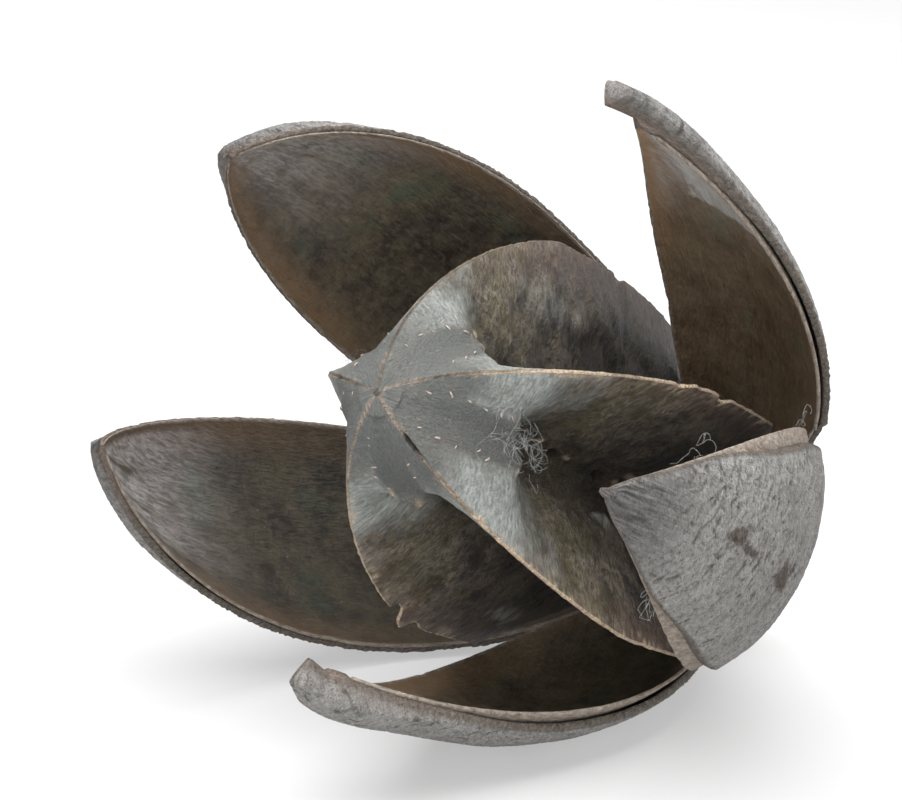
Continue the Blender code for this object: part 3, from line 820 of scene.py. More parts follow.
def edge_block(face, u):
    """The split edge of the ridge that ends a face: two cream lips with a groove between them."""
    ridge = (face + 1) % 5
    reach = torn_reach(ridge, u)
    way = np.linspace(-1.0, 1.0, EDGE_POINTS + 2)[1:-1][None, :]
    uneven = 0.75 * gradient_noise(stacked(u * 45.0, 3.0 * ridge, 0.0), 71)
    thick = RIDGE_HALF_EDGE * (1.0 + uneven - 0.15 * smooth_step(u, 0.86, 0.95))
    slit = 0.0 * u
    for split, at, half_length, half_gap in SLITS:
        if split == ridge:
            opened = 1.0 - smooth_step(np.abs(u - at), 0.2 * half_length, half_length)
            slit = slit + opened
            thick = thick + half_gap * opened
    angle = ridge_azimuth(face + 1) - way * np.minimum(thick / np.maximum(reach, 0.5), EDGE_ANGLE_LIMIT)
    climb = smooth_step(u, 0.78, 0.93)
    groove = (0.06 + 0.16 * climb) * (1.0 - np.abs(way) ** 1.5) * smooth_step(reach, 1.2, 4.0)
    lip_rise = 0.16 * np.abs(way) ** 2 * (1.0 - np.abs(way) ** 6) * climb
    out = reach + lip_rise + 0.12 * (1.0 - way ** 2) * (1.0 - climb) - groove * climb
    out = out - 0.7 * slit * (1.0 - np.abs(way) ** 3)
    return block(
        on_column(out, angle, u), side=reach + way * thick, height=COLUMELLA_LENGTH * u, wing=reach,
        lip=0.0, to_edge=0.0, middle=1.0, face=face, edge=1.0,
        groove=np.clip(2.0 * slit * (0.8 - np.abs(way)), 0.0, 1.0), bed=0.0,
        pale=RIDGE_PALENESS[ridge], start=PAINTED_SHEEN_STARTS[ridge],
    )


def column_relief(grid, fibres, grit, detail_push):
    """How far the columella's skin stands out, by fibres, lumps, creases, grit and details."""
    points, off_edge, in_hollow = grid.points, 1.0 - grid.edge, 1.0 - grid.lip
    lumps = fractal_noise(points * 0.26, 3, 0.55, 12)
    creases = ridged_noise(points * (0.5, 0.5, 0.3) + 0.6 * lumps[..., None], 3, 19) - 0.75
    push = 0.13 * fibres * off_edge * (0.35 + 0.65 * in_hollow)
    push += 0.75 * lumps * in_hollow * off_edge * smooth_step(grid.to_edge, 0.5, 4.0)
    push += 0.55 * creases * in_hollow * off_edge * smooth_step(grid.to_edge, 0.5, 3.0)
    push += 0.12 * grit * grid.bed
    push += 0.16 * fractal_noise(points * 1.3, 3, 0.6, 37) * grid.edge
    push += detail_push * off_edge
    return push * smooth_step(grid.wing, 1.0, 5.0)


def column_masks(grid, points, fibres, grit, dark, cream_spots, pale_spots):
    """The column's masks: cream, sheen_and_pale_marks (painted sheen on the slopes, and the real pale
    spots), bed, red; hollow (painted shade deep in the hollows), groove (the split and the pits, painted
    near-black as shade), fibres, height over the start of the painted sheen.
    """
    off_edge, climb = 1.0 - grid.edge, grid.height / COLUMELLA_LENGTH
    tan_rows = smooth_step(climb, 0.20, 0.42) * grid.pale
    worn = fractal_noise(stacked(grid.height * 0.30, grid.pale * 9.0, 0.0), 3, 0.6, 88)
    cream = grid.edge * (0.05 + 0.95 * tan_rows) * smooth_step(worn + 0.4 * grit, -0.65, 0.05)
    near_edge = 1.0 - smooth_step(grid.to_edge, 0.05, 0.65)
    cream = np.maximum(cream, 0.8 * near_edge * tan_rows * smooth_step(grit + 0.7 * worn, 0.0, 0.45))
    cream = np.maximum(cream, cream_spots * off_edge)
    mottle = fractal_noise(points * 0.20, 3, 0.55, 66)
    start = grid.start + 0.05 * (1.0 - grid.middle) - 0.10 * mottle - 0.05 * fibres
    # Painted sheen on the slopes towards the apex
    sheen_and_pale_marks = smooth_step(climb, start - 0.03, start + 0.13)
    near_apex = smooth_step(climb + 0.05 * mottle, 0.89, 0.965)
    bed = np.maximum(grid.bed, 0.85 * near_apex * off_edge)
    sheen_and_pale_marks *= (1.0 - 0.9 * bed) * off_edge * (0.95 + 0.15 * fibres + 0.25 * mottle)
    crumbs = np.clip(0.5 + 1.8 * grit + 0.5 * fibres, 0.0, 1.0)
    # The real pale spots share this mask and its tone
    sheen_and_pale_marks = np.maximum(sheen_and_pale_marks, pale_spots * crumbs)
    red = (1.0 - smooth_step(grid.to_edge, 0.2, 2.4)) * (1.0 - smooth_step(climb, 0.72, 0.92))
    out_on_wing = np.hypot(points[..., 0], points[..., 1]) / np.maximum(grid.wing, 0.5)
    # Painted shade deep in the hollows between the wings, below the lip
    hollow = (1.0 - smooth_step(out_on_wing, 0.30, 0.80)) * (1.0 - grid.lip)
    # The split and the pits are painted dark, standing in for their shade
    groove = np.maximum(grid.groove, dark * off_edge)
    marks = stacked(hollow, groove, 0.5 + 0.9 * fibres, 0.5 + climb - grid.start)
    return stacked(cream, sheen_and_pale_marks, bed, red), marks


def neck_rows(count):
    """Rings of points for the narrow neck under the columella's first row."""
    angle = VALVE_PITCH * 0.5 - math.tau * (np.arange(count) + 0.5) / count
    ring = NECK_RADIUS * np.cos(angle), NECK_RADIUS * np.sin(angle)
    return np.concatenate([stacked(*ring, height) for height in NECK_HEIGHTS])


def with_ends(values, neck_count, foot, apex):
    """Values for every point of the columella: blank on the neck, then the grid and both ends."""
    width = values.shape[-1]
    return np.concatenate((np.zeros((neck_count, width)), values.reshape(-1, width), [foot, apex]))


def columella_piece(material):
    """The columella: five faces and five split edges in one grid, closed by a neck and an apex."""
    u = (0.5 - 0.5 * np.cos(np.pi * np.arange(1, COLUMELLA_ROWS) / COLUMELLA_ROWS))[:, None]
    blocks = [make(face, u) for face in range(5) for make in (face_block, edge_block)]
    grid = SimpleNamespace(**{
        key: np.concatenate([part[key] for part in blocks], axis=1) for key in blocks[0]
    })
    place = stacked(grid.height * 1.8, grid.side * 1.3, 11.0 * grid.face)
    warp = fractal_noise(place * 0.3, 2, 0.5, 81)[..., None] * 1.5
    fibres = fractal_noise(place + warp, 4, 0.65, 2)
    grit = fractal_noise(grid.points * 1.6, 3, 0.6, 29)
    detail_push, *spots = column_details(grid.points)
    push = column_relief(grid, fibres, grit, detail_push)
    points = grid.points + push[..., None] * surface_normals(grid.points)
    paint, marks = column_masks(grid, points, fibres, grit, *spots)
    flow = stacked(grid.height, grid.side, 60.0 * grid.face)

    count = points.shape[1]
    neck = neck_rows(count)
    foot, apex = (0.0, 0.0, NECK_BOTTOM), (*APEX_SHIFT, COLUMELLA_FOOT + COLUMELLA_LENGTH)
    all_points = np.concatenate((neck, points.reshape(-1, 3), [foot, apex]))
    total = len(all_points) - 2
    last = total - count
    faces = grid_faces(len(u) + len(NECK_HEIGHTS), count)
    faces += [((i + 1) % count, i, total) for i in range(count)]
    faces += [(last + i, last + (i + 1) % count, total + 1) for i in range(count)]
    paint = with_ends(paint, len(neck), (0, 0, 0, 0), (0.6, 0, 0.5, 0))
    marks = with_ends(marks, len(neck), (0, 0, 0.5, 0), (0, 0.6, 0.5, 1.0))
    flow = with_ends(flow, len(neck), (0, 0, 0), (COLUMELLA_LENGTH, 0, 0))
    return make_piece(
        "column", all_points, faces, paint, marks, flow, material, "columella"
    )


def surface_point(face, column, u):
    """One point of the columella's smooth surface."""
    return columella_surface(face, np.array([[column]]), np.array([[u]]))[0][0, 0]


def column_place(face, column, u):
    """A point of the columella's face with its outward, upward and sideways directions."""
    step = 0.004
    point = surface_point(face, column, u)
    climb = surface_point(face, column, u + step) - surface_point(face, column, u - step)
    across = surface_point(face, column + step, u) - surface_point(face, column - step, u)
    climb, across = climb / np.linalg.norm(climb), across / np.linalg.norm(across)
    outward = np.cross(across, climb)
    outward /= np.linalg.norm(outward)
    if outward @ (point * (1.0, 1.0, 0.0)) < 0.0:
        outward = -outward
    return point, outward, climb, across


# Along both borders of each seed bed: how far up the stubs stand, and their sizes
STUB_HEIGHTS = (0.855, 0.882, 0.908, 0.931, 0.953, 0.972)
STUB_LENGTH, STUB_HALF_WIDTH, STUB_HALF_THICKNESS = 0.56, 0.090, 0.06
# The sections of a stub, as shares of its length and width: ahead, up and wide
STUB_SECTIONS = (
    (-0.15, -0.25, 0.8), (0.1, 0.05, 1.0), (0.4, 0.13, 1.1), (0.75, 0.15, 0.8), (1.0, 0.08, 0.35),
)
STUB_SIDES = 8


def stub(point, outward, ahead, size):
    """A small tapered flake that rises from a surface and bends over."""
    aside = np.cross(outward, ahead)
    angle = math.tau * np.arange(STUB_SIDES) / STUB_SIDES
    length, half_width_mm, half_thickness = (
        size * part for part in (STUB_LENGTH, STUB_HALF_WIDTH, STUB_HALF_THICKNESS)
    )
    rings = [
        point + length * go * ahead + length * rise * outward
        + width * half_width_mm * np.cos(angle)[:, None] * aside
        + width * half_thickness * np.sin(angle)[:, None] * outward
        for go, rise, width in STUB_SECTIONS
    ]
    return np.concatenate(rings), closed_faces(len(rings), STUB_SIDES)


def stub_pieces(material):
    """The pale stubs that held the seeds, in two rows on each seed bed."""
    random = np.random.default_rng(5)
    all_points, all_faces, total = [], [], 0
    for face in range(5):
        for side in (-1.0, 1.0):
            for height in STUB_HEIGHTS:
                u = height + random.uniform(-0.008, 0.008) + 0.010 * side
                if u < LIPS_AT[face] + 0.012 or random.random() < 0.12:
                    continue
                column = 0.5 + 0.5 * side * (float(bed_share(u)) + random.uniform(-0.12, 0.04))
                point, outward, climb, across = column_place(face, column, u)
                turn = random.uniform(0.2, 1.3) * side
                ahead = math.cos(turn) * climb + math.sin(turn) * across
                points, faces = stub(point, outward, ahead, random.uniform(0.6, 1.25))
                all_faces += [[i + total for i in polygon] for polygon in faces]
                all_points.append(points)
                total += len(points)
    points = np.concatenate(all_points)
    blank = np.zeros((len(points), 4))
    return make_piece(
        "seed_stubs", points, all_faces, blank, blank, points, material, None
    )


# Lint caught on the pod: where (face or valve, share across and share along), how many fibres, and
# how far they spread, in millimetres
LINT = (
    ("column", 1, 0.50, 0.850, 15, 4.4),
    ("column", 1, 0.45, 0.790, 15, 5.0),
    ("column", 1, 0.60, 0.820, 13, 4.6),
    ("valve", 2, 0.97, 0.830, 5, 3.0),
    ("valve", 2, -0.97, 0.760, 6, 3.4),
    ("valve", 0, 0.97, 0.470, 9, 1.6),
    ("valve", 2, 0.97, 0.480, 4, 2.6),
)
LINT_RADIUS = 0.0115


def lint_anchor(kind, index, across, along):
    """Where a tangle of lint is caught, with the directions out of the surface, along and across."""
    if kind == "column":
        point, outward, climb, aside = column_place(index, across, along)
        return point + 0.15 * outward, outward, climb, aside
    s, share = np.array([[along]]), np.array([[across]])
    point = arc_points(index, s, share * CUP_HALF_ANGLE, np.full((1, 1), LINING_FACE))[0, 0]
    _, side, normal = section_frame(index, np.array([along]))
    ahead = np.cross(side[0], normal[0])
    return point + 0.1 * normal[0], normal[0], ahead, side[0]


def fibre_walk(random, reach):
    """The places of one fibre: a smooth random walk that stays near its anchor."""
    place = random.uniform(-0.55, 0.55, 3) * reach * (0.25, 1.0, 1.0)
    place[0] = abs(place[0])
    heading = random.normal(0.0, 1.0, 3)
    count = int(random.integers(10, 18))
    spin = random.normal(0.0, 1.0, 3) * 0.5
    places = []
    for _ in range(count):
        places.append(place)
        heading = heading + np.cross(spin, heading) * 0.45 + random.normal(0.0, 0.25, 3)
        heading = heading - place * 0.25 / reach
        heading /= np.linalg.norm(heading)
        place = place + heading * (0.22 + reach * 0.05)
        place[0] = min(max(place[0], 0.02), 0.25 * reach)
    return places


def lint_pieces(material):
    """Fine curled fibres in loose tangles."""
    random = np.random.default_rng(12)
    curve = bpy.data.curves.new("lint", "CURVE")
    curve.dimensions = "3D"
    curve.bevel_depth = LINT_RADIUS * MM
    curve.bevel_resolution = 1
    curve.resolution_u = 3
    for kind, index, across, along, fibres, reach in LINT:
        anchor, *directions = lint_anchor(kind, index, across, along)
        axes = np.array(directions)
        for _ in range(fibres):
            places = fibre_walk(random, reach)
            spline = curve.splines.new("NURBS")
            spline.points.add(len(places) - 1)
            for point, place in zip(spline.points, places):
                point.co = (*to_world((anchor + place @ axes)[None, :])[0], 1.0)
            spline.order_u = 4
            spline.use_endpoint_u = True
    curve.materials.append(material)
    lint = bpy.data.objects.new("lint", curve)
    bpy.context.scene.collection.objects.link(lint)
    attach(lint, "root")
    return lint


def receptacle_piece(material):
    """The receptacle: a rough cup with the scars of the sepals, and a fibrous stub of stalk."""
    outline = np.array(BASE_OUTLINE)
    step = np.linspace(0, len(outline) - 1, BASE_ROWS)
    radius, height = (
        np.interp(step, np.arange(len(outline)), outline[:, k])[:, None] for k in range(2)
    )
    angle = (math.tau * np.arange(BASE_SIDES) / BASE_SIDES)[None, :]
    ribs = 0.18 * np.cos(angle * 10.0 + 0.6 * np.sin(height)) * smooth_step(-height, 3.0, 6.0)
    scars = -0.45 * np.clip(np.cos(angle * 5.0), 0.0, None) ** 4 * (
        smooth_step(radius, 4.6, 5.5) * smooth_step(-height, 1.0, 1.6)
    )
    place = stacked(np.cos(angle) * 3.0, np.sin(angle) * 3.0, height * 0.5)
    grain = fractal_noise(place, 4, 0.6, 83)
    body = radius + (ribs + scars + 0.32 * grain - 0.20) * smooth_step(radius, 0.8, 2.4)
    points = stacked(body * np.cos(angle), body * np.sin(angle), height)
    flow = stacked(height, angle * 4.0, 300.0)
    paint = stacked(0.0, 0.0, 0.0 * angle, smooth_step(-height, 8.4, 8.7))
    return make_piece(
        "receptacle", points, closed_faces(*body.shape), paint, 0.0 * paint, flow, material, "base",
    )


# Materials: each helper adds its nodes to the tree of the sockets that it is given


def add_node(tree, kind, inputs=None, **settings):
    """A shader node with its settings and inputs; an input is a value or another node's output."""
    node = tree.nodes.new(kind)
    for key, value in settings.items():
        setattr(node, key, value)
    for key, value in (inputs or {}).items():
        if is_socket(value):
            tree.links.new(value, node.inputs[key])
        else:
            node.inputs[key].default_value = value
    return node


def is_socket(value):
    """Whether a value is another node's output, and not a number or a colour."""
    return isinstance(value, bpy.types.NodeSocket)


def colour(value):
    """A socket as it is, or three numbers with the fourth that a colour needs."""
    return value if is_socket(value) else (*value, 1.0)


def blend(factor, first, second):
    """The first colour where the factor is 0, the second where it is 1."""
    inputs = {0: factor, 6: colour(first), 7: colour(second)}
    return add_node(factor.id_data, "ShaderNodeMix", inputs, data_type="RGBA").outputs[2]


def layered(tone, *layers):
    """A colour with others laid over it, each given as its mask and its colour."""
    for mask, tint in layers:
        tone = blend(mask, tone, tint)
    return tone


def reckon(operation, first, second, clamp=False):
    """Arithmetic on two values, of which at least one is a socket."""
    tree = (first if is_socket(first) else second).id_data
    inputs = {0: first, 1: second}
    return add_node(tree, "ShaderNodeMath", inputs, operation=operation, use_clamp=clamp).outputs[0]


def times(first, second):
    return reckon("MULTIPLY", first, second)


def plus(first, second, clamp=False):
    return reckon("ADD", first, second, clamp)


def minus(first, second, clamp=False):
    return reckon("SUBTRACT", first, second, clamp)


def spread(value, low, high, to_low=0.0, to_high=1.0):
    """A value's range from low to high, brought to another range and held there."""
    inputs = {"Value": value, "From Min": low, "From Max": high, "To Min": to_low, "To Max": to_high}
    return add_node(value.id_data, "ShaderNodeMapRange", inputs).outputs["Result"]


def two_tone(value, low, high, first, second):
    """A colour that goes from the first to the second as the value goes from low to high."""
    return blend(spread(value, low, high), first, second)


def noise(vector, scale, detail, roughness, distortion=0.0):
    """Clouds of noise between 0 and 1 at the given coordinates."""
    inputs = {
        "Vector": vector, "Scale": scale, "Detail": detail, "Roughness": roughness,
        "Distortion": distortion,
    }
    return add_node(vector.id_data, "ShaderNodeTexNoise", inputs).outputs["Fac"]


def threads(vector, scale, detail=4.0):
    """Noise that runs in thin meandering threads, from 0 between them to 1 on them."""
    centred = minus(noise(vector, scale, detail, 0.55), 0.5)
    return spread(reckon("ABSOLUTE", centred, 0.0), 0.0, 0.09, 1.0, 0.0)


def mapped(vector, inputs):
    """Coordinates moved by a mapping node with the given inputs."""
    inputs = {"Vector": vector, **inputs}
    return add_node(vector.id_data, "ShaderNodeMapping", inputs).outputs["Vector"]


def stretched(vector, *scale):
    """Coordinates scaled along each axis."""
    return mapped(vector, {"Scale": scale})


def slanted(vector, *scale):
    """Coordinates turned halfway between along and across, then scaled."""
    return stretched(mapped(vector, {"Rotation": (0.0, 0.0, math.radians(-45.0))}), *scale)


def object_place(tree):
    """The place in the object's own coordinates, in metres."""
    return add_node(tree, "ShaderNodeTexCoord").outputs["Object"]


def plain_material(name, roughness):
    """A material and its shader."""
    material = bpy.data.materials.new(name)
    material.use_nodes = True
    shader = material.node_tree.nodes["Principled BSDF"]
    shader.inputs["Roughness"].default_value = roughness
    return material, shader


def masked_material(name, roughness):
    """A material, its shader, the eight masks that the meshes carry and the flow coordinates."""
    material, shader = plain_material(name, roughness)
    tree = material.node_tree
    masks = []
    for label in ("paint", "marks"):
        attribute = add_node(tree, "ShaderNodeAttribute", attribute_name=label)
        split = add_node(tree, "ShaderNodeSeparateColor", {0: attribute.outputs["Color"]})
        masks += [*split.outputs, attribute.outputs["Alpha"]]
    flow = add_node(tree, "ShaderNodeAttribute", attribute_name="flow").outputs["Vector"]
    return material, shader, masks, flow


def finish_look(shader, tone, gloss=None, relief=None, depth=0.0, strength=1.0):
    """Links a look's colour, roughness and relief to its shader; the depth is in metres."""
    links = shader.id_data.links
    links.new(tone, shader.inputs["Base Color"])
    if gloss is not None:
        links.new(gloss, shader.inputs["Roughness"])
    if relief is not None:
        inputs = {"Height": relief, "Distance": depth, "Strength": strength}
        bump = add_node(shader.id_data, "ShaderNodeBump", inputs)
        links.new(bump.outputs["Normal"], shader.inputs["Normal"])


def shell_material():
    """Matte grey skin with a wrinkled net, brown blotches and a tan cut rim."""
    material, shader, masks, flow = masked_material("pod_shell", 0.85)
    rim, blotch, tip, cut, foot, net, _, outside = masks
    long_way = slanted(flow, 0.62, 1.15, 1.0)
    patches = noise(long_way, 0.20, 4.0, 0.6)
    wrinkle = noise(long_way, 1.7, 9.0, 0.68, 0.8)
    bark = noise(long_way, 2.4, 6.0, 0.7)
    thread, fine_thread = threads(long_way, 1.15), threads(long_way, 2.6, 3.0)
    streaks = noise(stretched(flow, 0.10, 1.0, 1.0), 3.4, 5.0, 0.65)
    grain = noise(flow, 6.5, 3.0, 0.7)

    under_mask = minus(minus(times(minus(1.0, outside), 0.8), rim, clamp=True), cut, clamp=True)
    skin = layered(
        two_tone(wrinkle, 0.38, 0.62, (0.110, 0.102, 0.093), (0.345, 0.333, 0.316)),
        # Paler on the wrinkles' crests: partly their own tone, partly painted light
        (spread(net, 0.48, 0.95, 0.0, 0.75), (0.46, 0.45, 0.435)),
        (times(thread, 0.50), (0.52, 0.51, 0.495)),
        (times(fine_thread, 0.38), (0.48, 0.47, 0.455)),
        # Painted shade in the pits between the wrinkles
        (spread(net, 0.12, 0.50, 0.85, 0.0), (0.070, 0.059, 0.050)),
        (spread(grain, 0.54, 0.66, 0.0, 0.75), (0.080, 0.067, 0.057)),
        (spread(patches, 0.46, 0.70, 0.0, 0.35), (0.185, 0.172, 0.158)),
        (times(tip, 0.88), two_tone(streaks, 0.36, 0.64, (0.026, 0.022, 0.022), (0.225, 0.217, 0.208))),
        (times(foot, 0.6), (0.115, 0.082, 0.058)),
        (
            times(blotch, spread(wrinkle, 0.38, 0.60, 1.0, 0.62)),
            blend(grain, (0.030, 0.019, 0.014), (0.105, 0.070, 0.050)),
        ),
        (rim, two_tone(bark, 0.35, 0.7, (0.085, 0.070, 0.058), (0.26, 0.225, 0.19))),
        (times(cut, 0.75), two_tone(streaks, 0.3, 0.7, (0.11, 0.082, 0.066), (0.34, 0.27, 0.225))),
        (under_mask, two_tone(bark, 0.3, 0.7, (0.10, 0.065, 0.04), (0.22, 0.155, 0.10))),
    )
    relief = plus(plus(plus(wrinkle, times(thread, 0.30)), times(fine_thread, 0.14)), times(grain, 0.12))
    finish_look(shader, skin, None, relief, 0.00080)
    shader.inputs["Specular IOR Level"].default_value = 0.25
    return material


def lining_material():
    """Satin olive brown with a faint grain, warmer near the rims, pale streaks near the tip with a
    painted sheen, a strip of painted sheen on one valve, and each valve's inside painted lighter or
    darker for the light and shade it gets.
    """
    material, shader, masks, flow = masked_material("pod_lining", 0.42)
    rim, warm, sheen_and_pale_marks, green, light, sheen_strip, _, _ = masks
    cloud = noise(flow, 0.22, 9.0, 0.74)
    grain = noise(stretched(flow, 0.50, 1.0, 1.0), 2.0, 9.0, 0.74, 0.6)
    fibre = noise(stretched(flow, 0.16, 1.0, 1.0), 3.2, 5.0, 0.68)
    freckle = noise(flow, 1.5, 8.0, 0.78)
    inputs = {"Vector": flow, "Scale": 0.45}
    cells = add_node(flow.id_data, "ShaderNodeTexVoronoi", inputs).outputs["Distance"]

    tone = layered(
        two_tone(cloud, 0.40, 0.60, (0.026, 0.020, 0.012), (0.122, 0.096, 0.058)),
        (spread(grain, 0.46, 0.66, 0.0, 0.60), (0.205, 0.165, 0.112)),
        (times(green, spread(freckle, 0.36, 0.60, 0.85, 0.20)), (0.052, 0.105, 0.066)),
        (spread(freckle, 0.51, 0.66, 0.0, 0.75), (0.018, 0.014, 0.010)),
        (times(warm, spread(fibre, 0.3, 0.7, 0.40, 0.90)), (0.225, 0.130, 0.062)),
    )
    # Each valve's inside painted lighter or darker by its light value, for the light and shade it gets
    inputs = {"Value": spread(light, 0.0, 1.0, 0.50, 1.75), "Color": tone}
    tone = layered(
        add_node(tone.id_data, "ShaderNodeHueSaturation", inputs).outputs["Color"],
        # Painted sheen on the pale streaks near the tip
        (times(sheen_and_pale_marks, spread(fibre, 0.40, 0.60, 0.35, 1.0)), (0.50, 0.465, 0.455)),
        # A strip of painted sheen where the lining catches the light
        (times(sheen_strip, spread(fibre, 0.36, 0.60, 0.55, 1.0)), (0.62, 0.60, 0.58)),
        (spread(cells, 0.0, 0.05, 0.7, 0.0), (0.42, 0.35, 0.26)),
        (rim, two_tone(grain, 0.38, 0.66, (0.15, 0.11, 0.082), (0.46, 0.40, 0.335))),
    )
    gloss = plus(spread(grain, 0.3, 0.7, 0.34, 0.56), times(rim, 0.35), clamp=True)
    relief = plus(plus(times(fibre, 0.6), times(grain, 0.8)), times(freckle, 0.4))
    finish_look(shader, tone, gloss, relief, 0.00060)
    shader.inputs["Specular IOR Level"].default_value = 0.5
    return material


def columella_material():
    """Slate beds, blue-grey slopes whose tone is painted sheen, mottled brown hollows with painted shade
    deep in them, pits and a split painted near-black as shade, and cream split edges.
    """
    material, shader, masks, flow = masked_material("pod_columella", 0.5)
    cream, sheen_and_pale_marks, bed, red, hollow, groove, fibres, climb = masks
    cross_way = stretched(flow, 1.0, 0.70, 1.0)
    place = stretched(object_place(flow.id_data), 1.0 / MM, 1.0 / MM, 1.0 / MM)
    cloud = noise(place, 0.30, 8.0, 0.74)
    hue = noise(place, 0.40, 5.0, 0.65)
    freckle = noise(place, 1.3, 7.0, 0.76)
    grain = noise(cross_way, 2.2, 8.0, 0.74, 0.8)
    scratch = threads(cross_way, 2.1, 5.0)
    grit = noise(flow, 3.6, 6.0, 0.75)
    satin = noise(stretched(flow, 1.0, 0.28, 1.0), 3.4, 4.0, 0.6)

    olive = times(minus(1.0, spread(climb, 0.46, 0.60)), spread(climb, 0.30, 0.44))
    light = times(scratch, spread(cloud, 0.42, 0.60, 0.05, 0.75))
    # The blue-grey tone of the slopes is painted sheen; the real pale spots take it too
    sheen = layered(
        two_tone(satin, 0.36, 0.64, (0.270, 0.300, 0.288), (0.58, 0.60, 0.565)),
        (spread(cloud, 0.50, 0.62, 0.0, 0.45), (0.165, 0.185, 0.170)),
    )
    slate = layered(
        two_tone(grit, 0.36, 0.66, (0.080, 0.080, 0.076), (0.250, 0.254, 0.240)),
        (spread(cloud, 0.38, 0.62, 0.65, 0.0), (0.13, 0.155, 0.15)),
    )
    edge_tone = blend(
        spread(climb, 0.66, 0.74),
        two_tone(grit, 0.36, 0.60, (0.42, 0.26, 0.16), (0.92, 0.76, 0.56)),
        two_tone(grit, 0.36, 0.60, (0.10, 0.078, 0.062), (0.44, 0.37, 0.31)),
    )
    tone = layered(
        two_tone(cloud, 0.42, 0.58, (0.016, 0.012, 0.009), (0.125, 0.094, 0.062)),
        (spread(hue, 0.54, 0.66, 0.0, 0.75), (0.125, 0.098, 0.040)),
        (times(red, spread(grain, 0.35, 0.65, 0.35, 0.90)), (0.150, 0.080, 0.052)),
        (times(olive, spread(hue, 0.36, 0.56, 0.15, 0.85)), (0.145, 0.122, 0.058)),
        (times(light, spread(climb, 0.15, 0.38, 0.20, 1.0)), (0.38, 0.335, 0.285)),
        (spread(fibres, 0.15, 0.50, 0.45, 0.0), (0.018, 0.014, 0.011)),
        (spread(climb, 0.05, 0.30, 0.75, 0.0), (0.022, 0.017, 0.013)),
        (spread(freckle, 0.51, 0.64, 0.0, 0.75), (0.016, 0.013, 0.010)),
        # Painted shade deep in the hollows
        (times(hollow, 0.35), (0.018, 0.014, 0.011)),
        (times(sheen_and_pale_marks, 0.95), sheen),
        (times(bed, 0.9), slate),
        (cream, edge_tone),
        # The split and the pits painted near-black as shade
        (times(groove, 0.92), (0.016, 0.012, 0.010)),
    )
    gloss = plus(spread(grain, 0.3, 0.7, 0.34, 0.60), times(bed, 0.25))
    gloss = plus(plus(gloss, times(sheen_and_pale_marks, 0.14)), times(cream, 0.3), clamp=True)
    relief = plus(plus(times(scratch, 0.22), grain), times(grit, 0.4))
    finish_look(shader, tone, gloss, minus(relief, times(freckle, 0.6)), 0.00070)
    shader.inputs["Specular IOR Level"].default_value = 0.5
    return material


def stub_material():
    """Dry pinkish cream."""
    material, shader, _, flow = masked_material("pod_stubs", 0.7)
    grit = noise(flow, 4.0, 4.0, 0.6)
    tone = two_tone(grit, 0.3, 0.7, (0.17, 0.13, 0.115), (0.47, 0.385, 0.35))
    finish_look(shader, tone, None, grit, 0.0001, 0.6)
    return material


def lint_material():
    """Pale grey fibre, a little uneven along its length."""
    material, shader = plain_material("pod_lint", 0.8)
    uneven = noise(object_place(shader.id_data), 900.0, 3.0, 0.6)
    finish_look(shader, two_tone(uneven, 0.3, 0.7, (0.20, 0.205, 0.20), (0.45, 0.46, 0.45)))
    return material


def receptacle_material():
    """Rough brown-grey fibre, paler where the stalk is cut."""
    material, shader, masks, flow = masked_material("pod_receptacle", 0.85)
    fibre = noise(stretched(flow, 0.3, 1.0, 1.0), 2.2, 7.0, 0.66, 0.5)
    tone = two_tone(fibre, 0.32, 0.7, (0.050, 0.034, 0.024), (0.235, 0.185, 0.14))
    finish_look(shader, blend(masks[3], tone, (0.36, 0.26, 0.17)), None, fibre, 0.0007)
    return material


# Floor, light and camera


def make_floor():
    """A pale floor that throws back a little light of its own, so that it shows white."""
    bpy.ops.mesh.primitive_circle_add(vertices=96, radius=4.0, fill_type="NGON")
    floor = bpy.context.object
    floor.name = "floor"
    material, shader = plain_material("pale_floor", 0.9)
    shader.inputs["Base Color"].default_value = (0.32, 0.32, 0.32, 1.0)
    shader.inputs["Specular IOR Level"].default_value = 0.1
    shader.inputs["Emission Color"].default_value = (1.0, 1.0, 1.0, 1.0)
    shader.inputs["Emission Strength"].default_value = 0.405
    floor.data.materials.append(material)


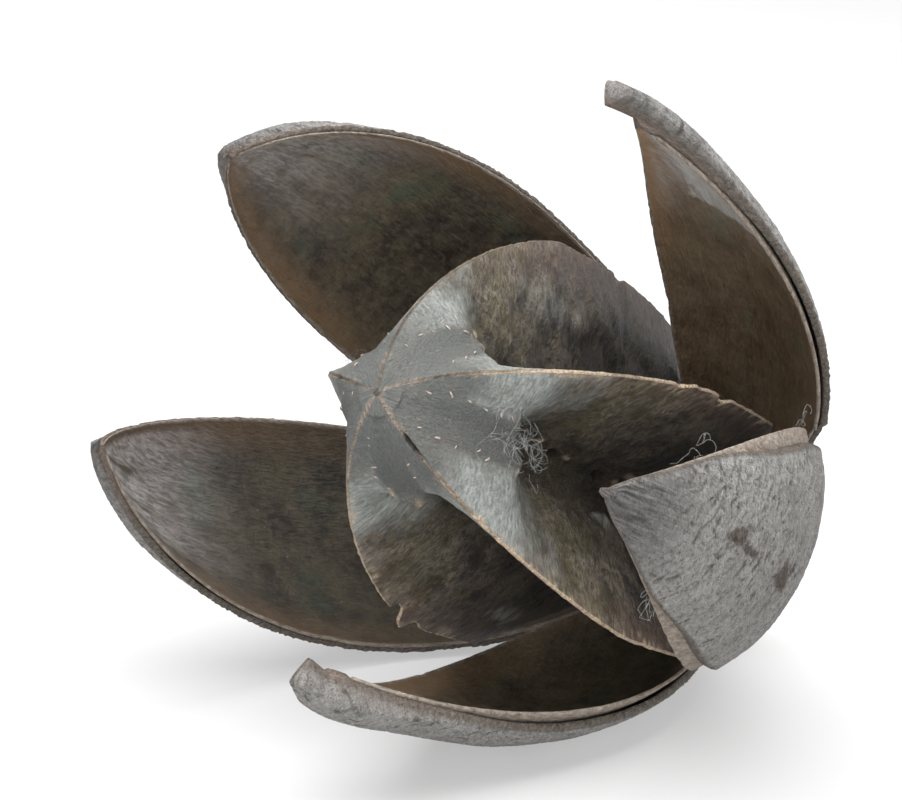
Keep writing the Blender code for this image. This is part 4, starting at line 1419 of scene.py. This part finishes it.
def add_softbox(name, place, size, power):
    """A round soft light that looks at the middle of the pod."""
    light = bpy.data.lights.new(name, "AREA")
    light.shape = "DISK"
    light.size = size
    light.energy = power
    lamp = bpy.data.objects.new(name, light)
    lamp.location = Vector(place)
    lamp.rotation_mode = "QUATERNION"
    lamp.rotation_quaternion = (Vector(LIGHTS_LOOK_AT) - Vector(place)).to_track_quat("-Z", "Y")
    bpy.context.scene.collection.objects.link(lamp)


def make_lights():
    """An even white surround, a large light from above and a softer one from the front."""
    world = bpy.data.worlds.new("studio")
    world.use_nodes = True
    background = world.node_tree.nodes["Background"]
    background.inputs["Color"].default_value = (1.0, 1.0, 1.0, 1.0)
    background.inputs["Strength"].default_value = 0.62
    bpy.context.scene.world = world
    add_softbox("key", (-0.06, -0.04, 0.58), 1.05, 12.5)
    add_softbox("fill", (0.05, -0.90, 0.12), 0.8, 8.0)
    bpy.context.scene.view_settings.view_transform = "Standard"


def make_camera():
    """The photograph's camera."""
    heading, drop = math.radians(CAMERA_HEADING_DEG), math.radians(CAMERA_DROP_DEG)
    roll = math.radians(CAMERA_ROLL_DEG)
    level = Vector((math.cos(heading), -math.sin(heading), 0.0))
    forward = Vector((
        math.sin(heading) * math.cos(drop), math.cos(heading) * math.cos(drop), -math.sin(drop)
    ))
    above = level.cross(forward)
    right = math.cos(roll) * level + math.sin(roll) * above
    up = right.cross(forward)
    camera_data = bpy.data.cameras.new("photo_camera")
    camera_data.sensor_fit = "HORIZONTAL"
    camera_data.sensor_width = CAMERA_SENSOR
    camera_data.lens = CAMERA_LENS
    camera_data.clip_start, camera_data.clip_end = 0.02, 20.0
    camera = bpy.data.objects.new("photo_camera", camera_data)
    axes = Matrix((right, up, -forward)).transposed().to_4x4()
    camera.matrix_world = Matrix.Translation(Vector(CAMERA_AT) * MM) @ axes
    bpy.context.scene.collection.objects.link(camera)
    bpy.context.scene.camera = camera


make_camera()
make_lights()
make_floor()
shell_look, lining_look = shell_material(), lining_material()
for valve_index in range(len(VALVES)):
    shell_piece(valve_index, shell_look)
    lining_piece(valve_index, lining_look)
columella_piece(columella_material())
stub_pieces(stub_material())
lint_pieces(lint_material())
receptacle_piece(receptacle_material())
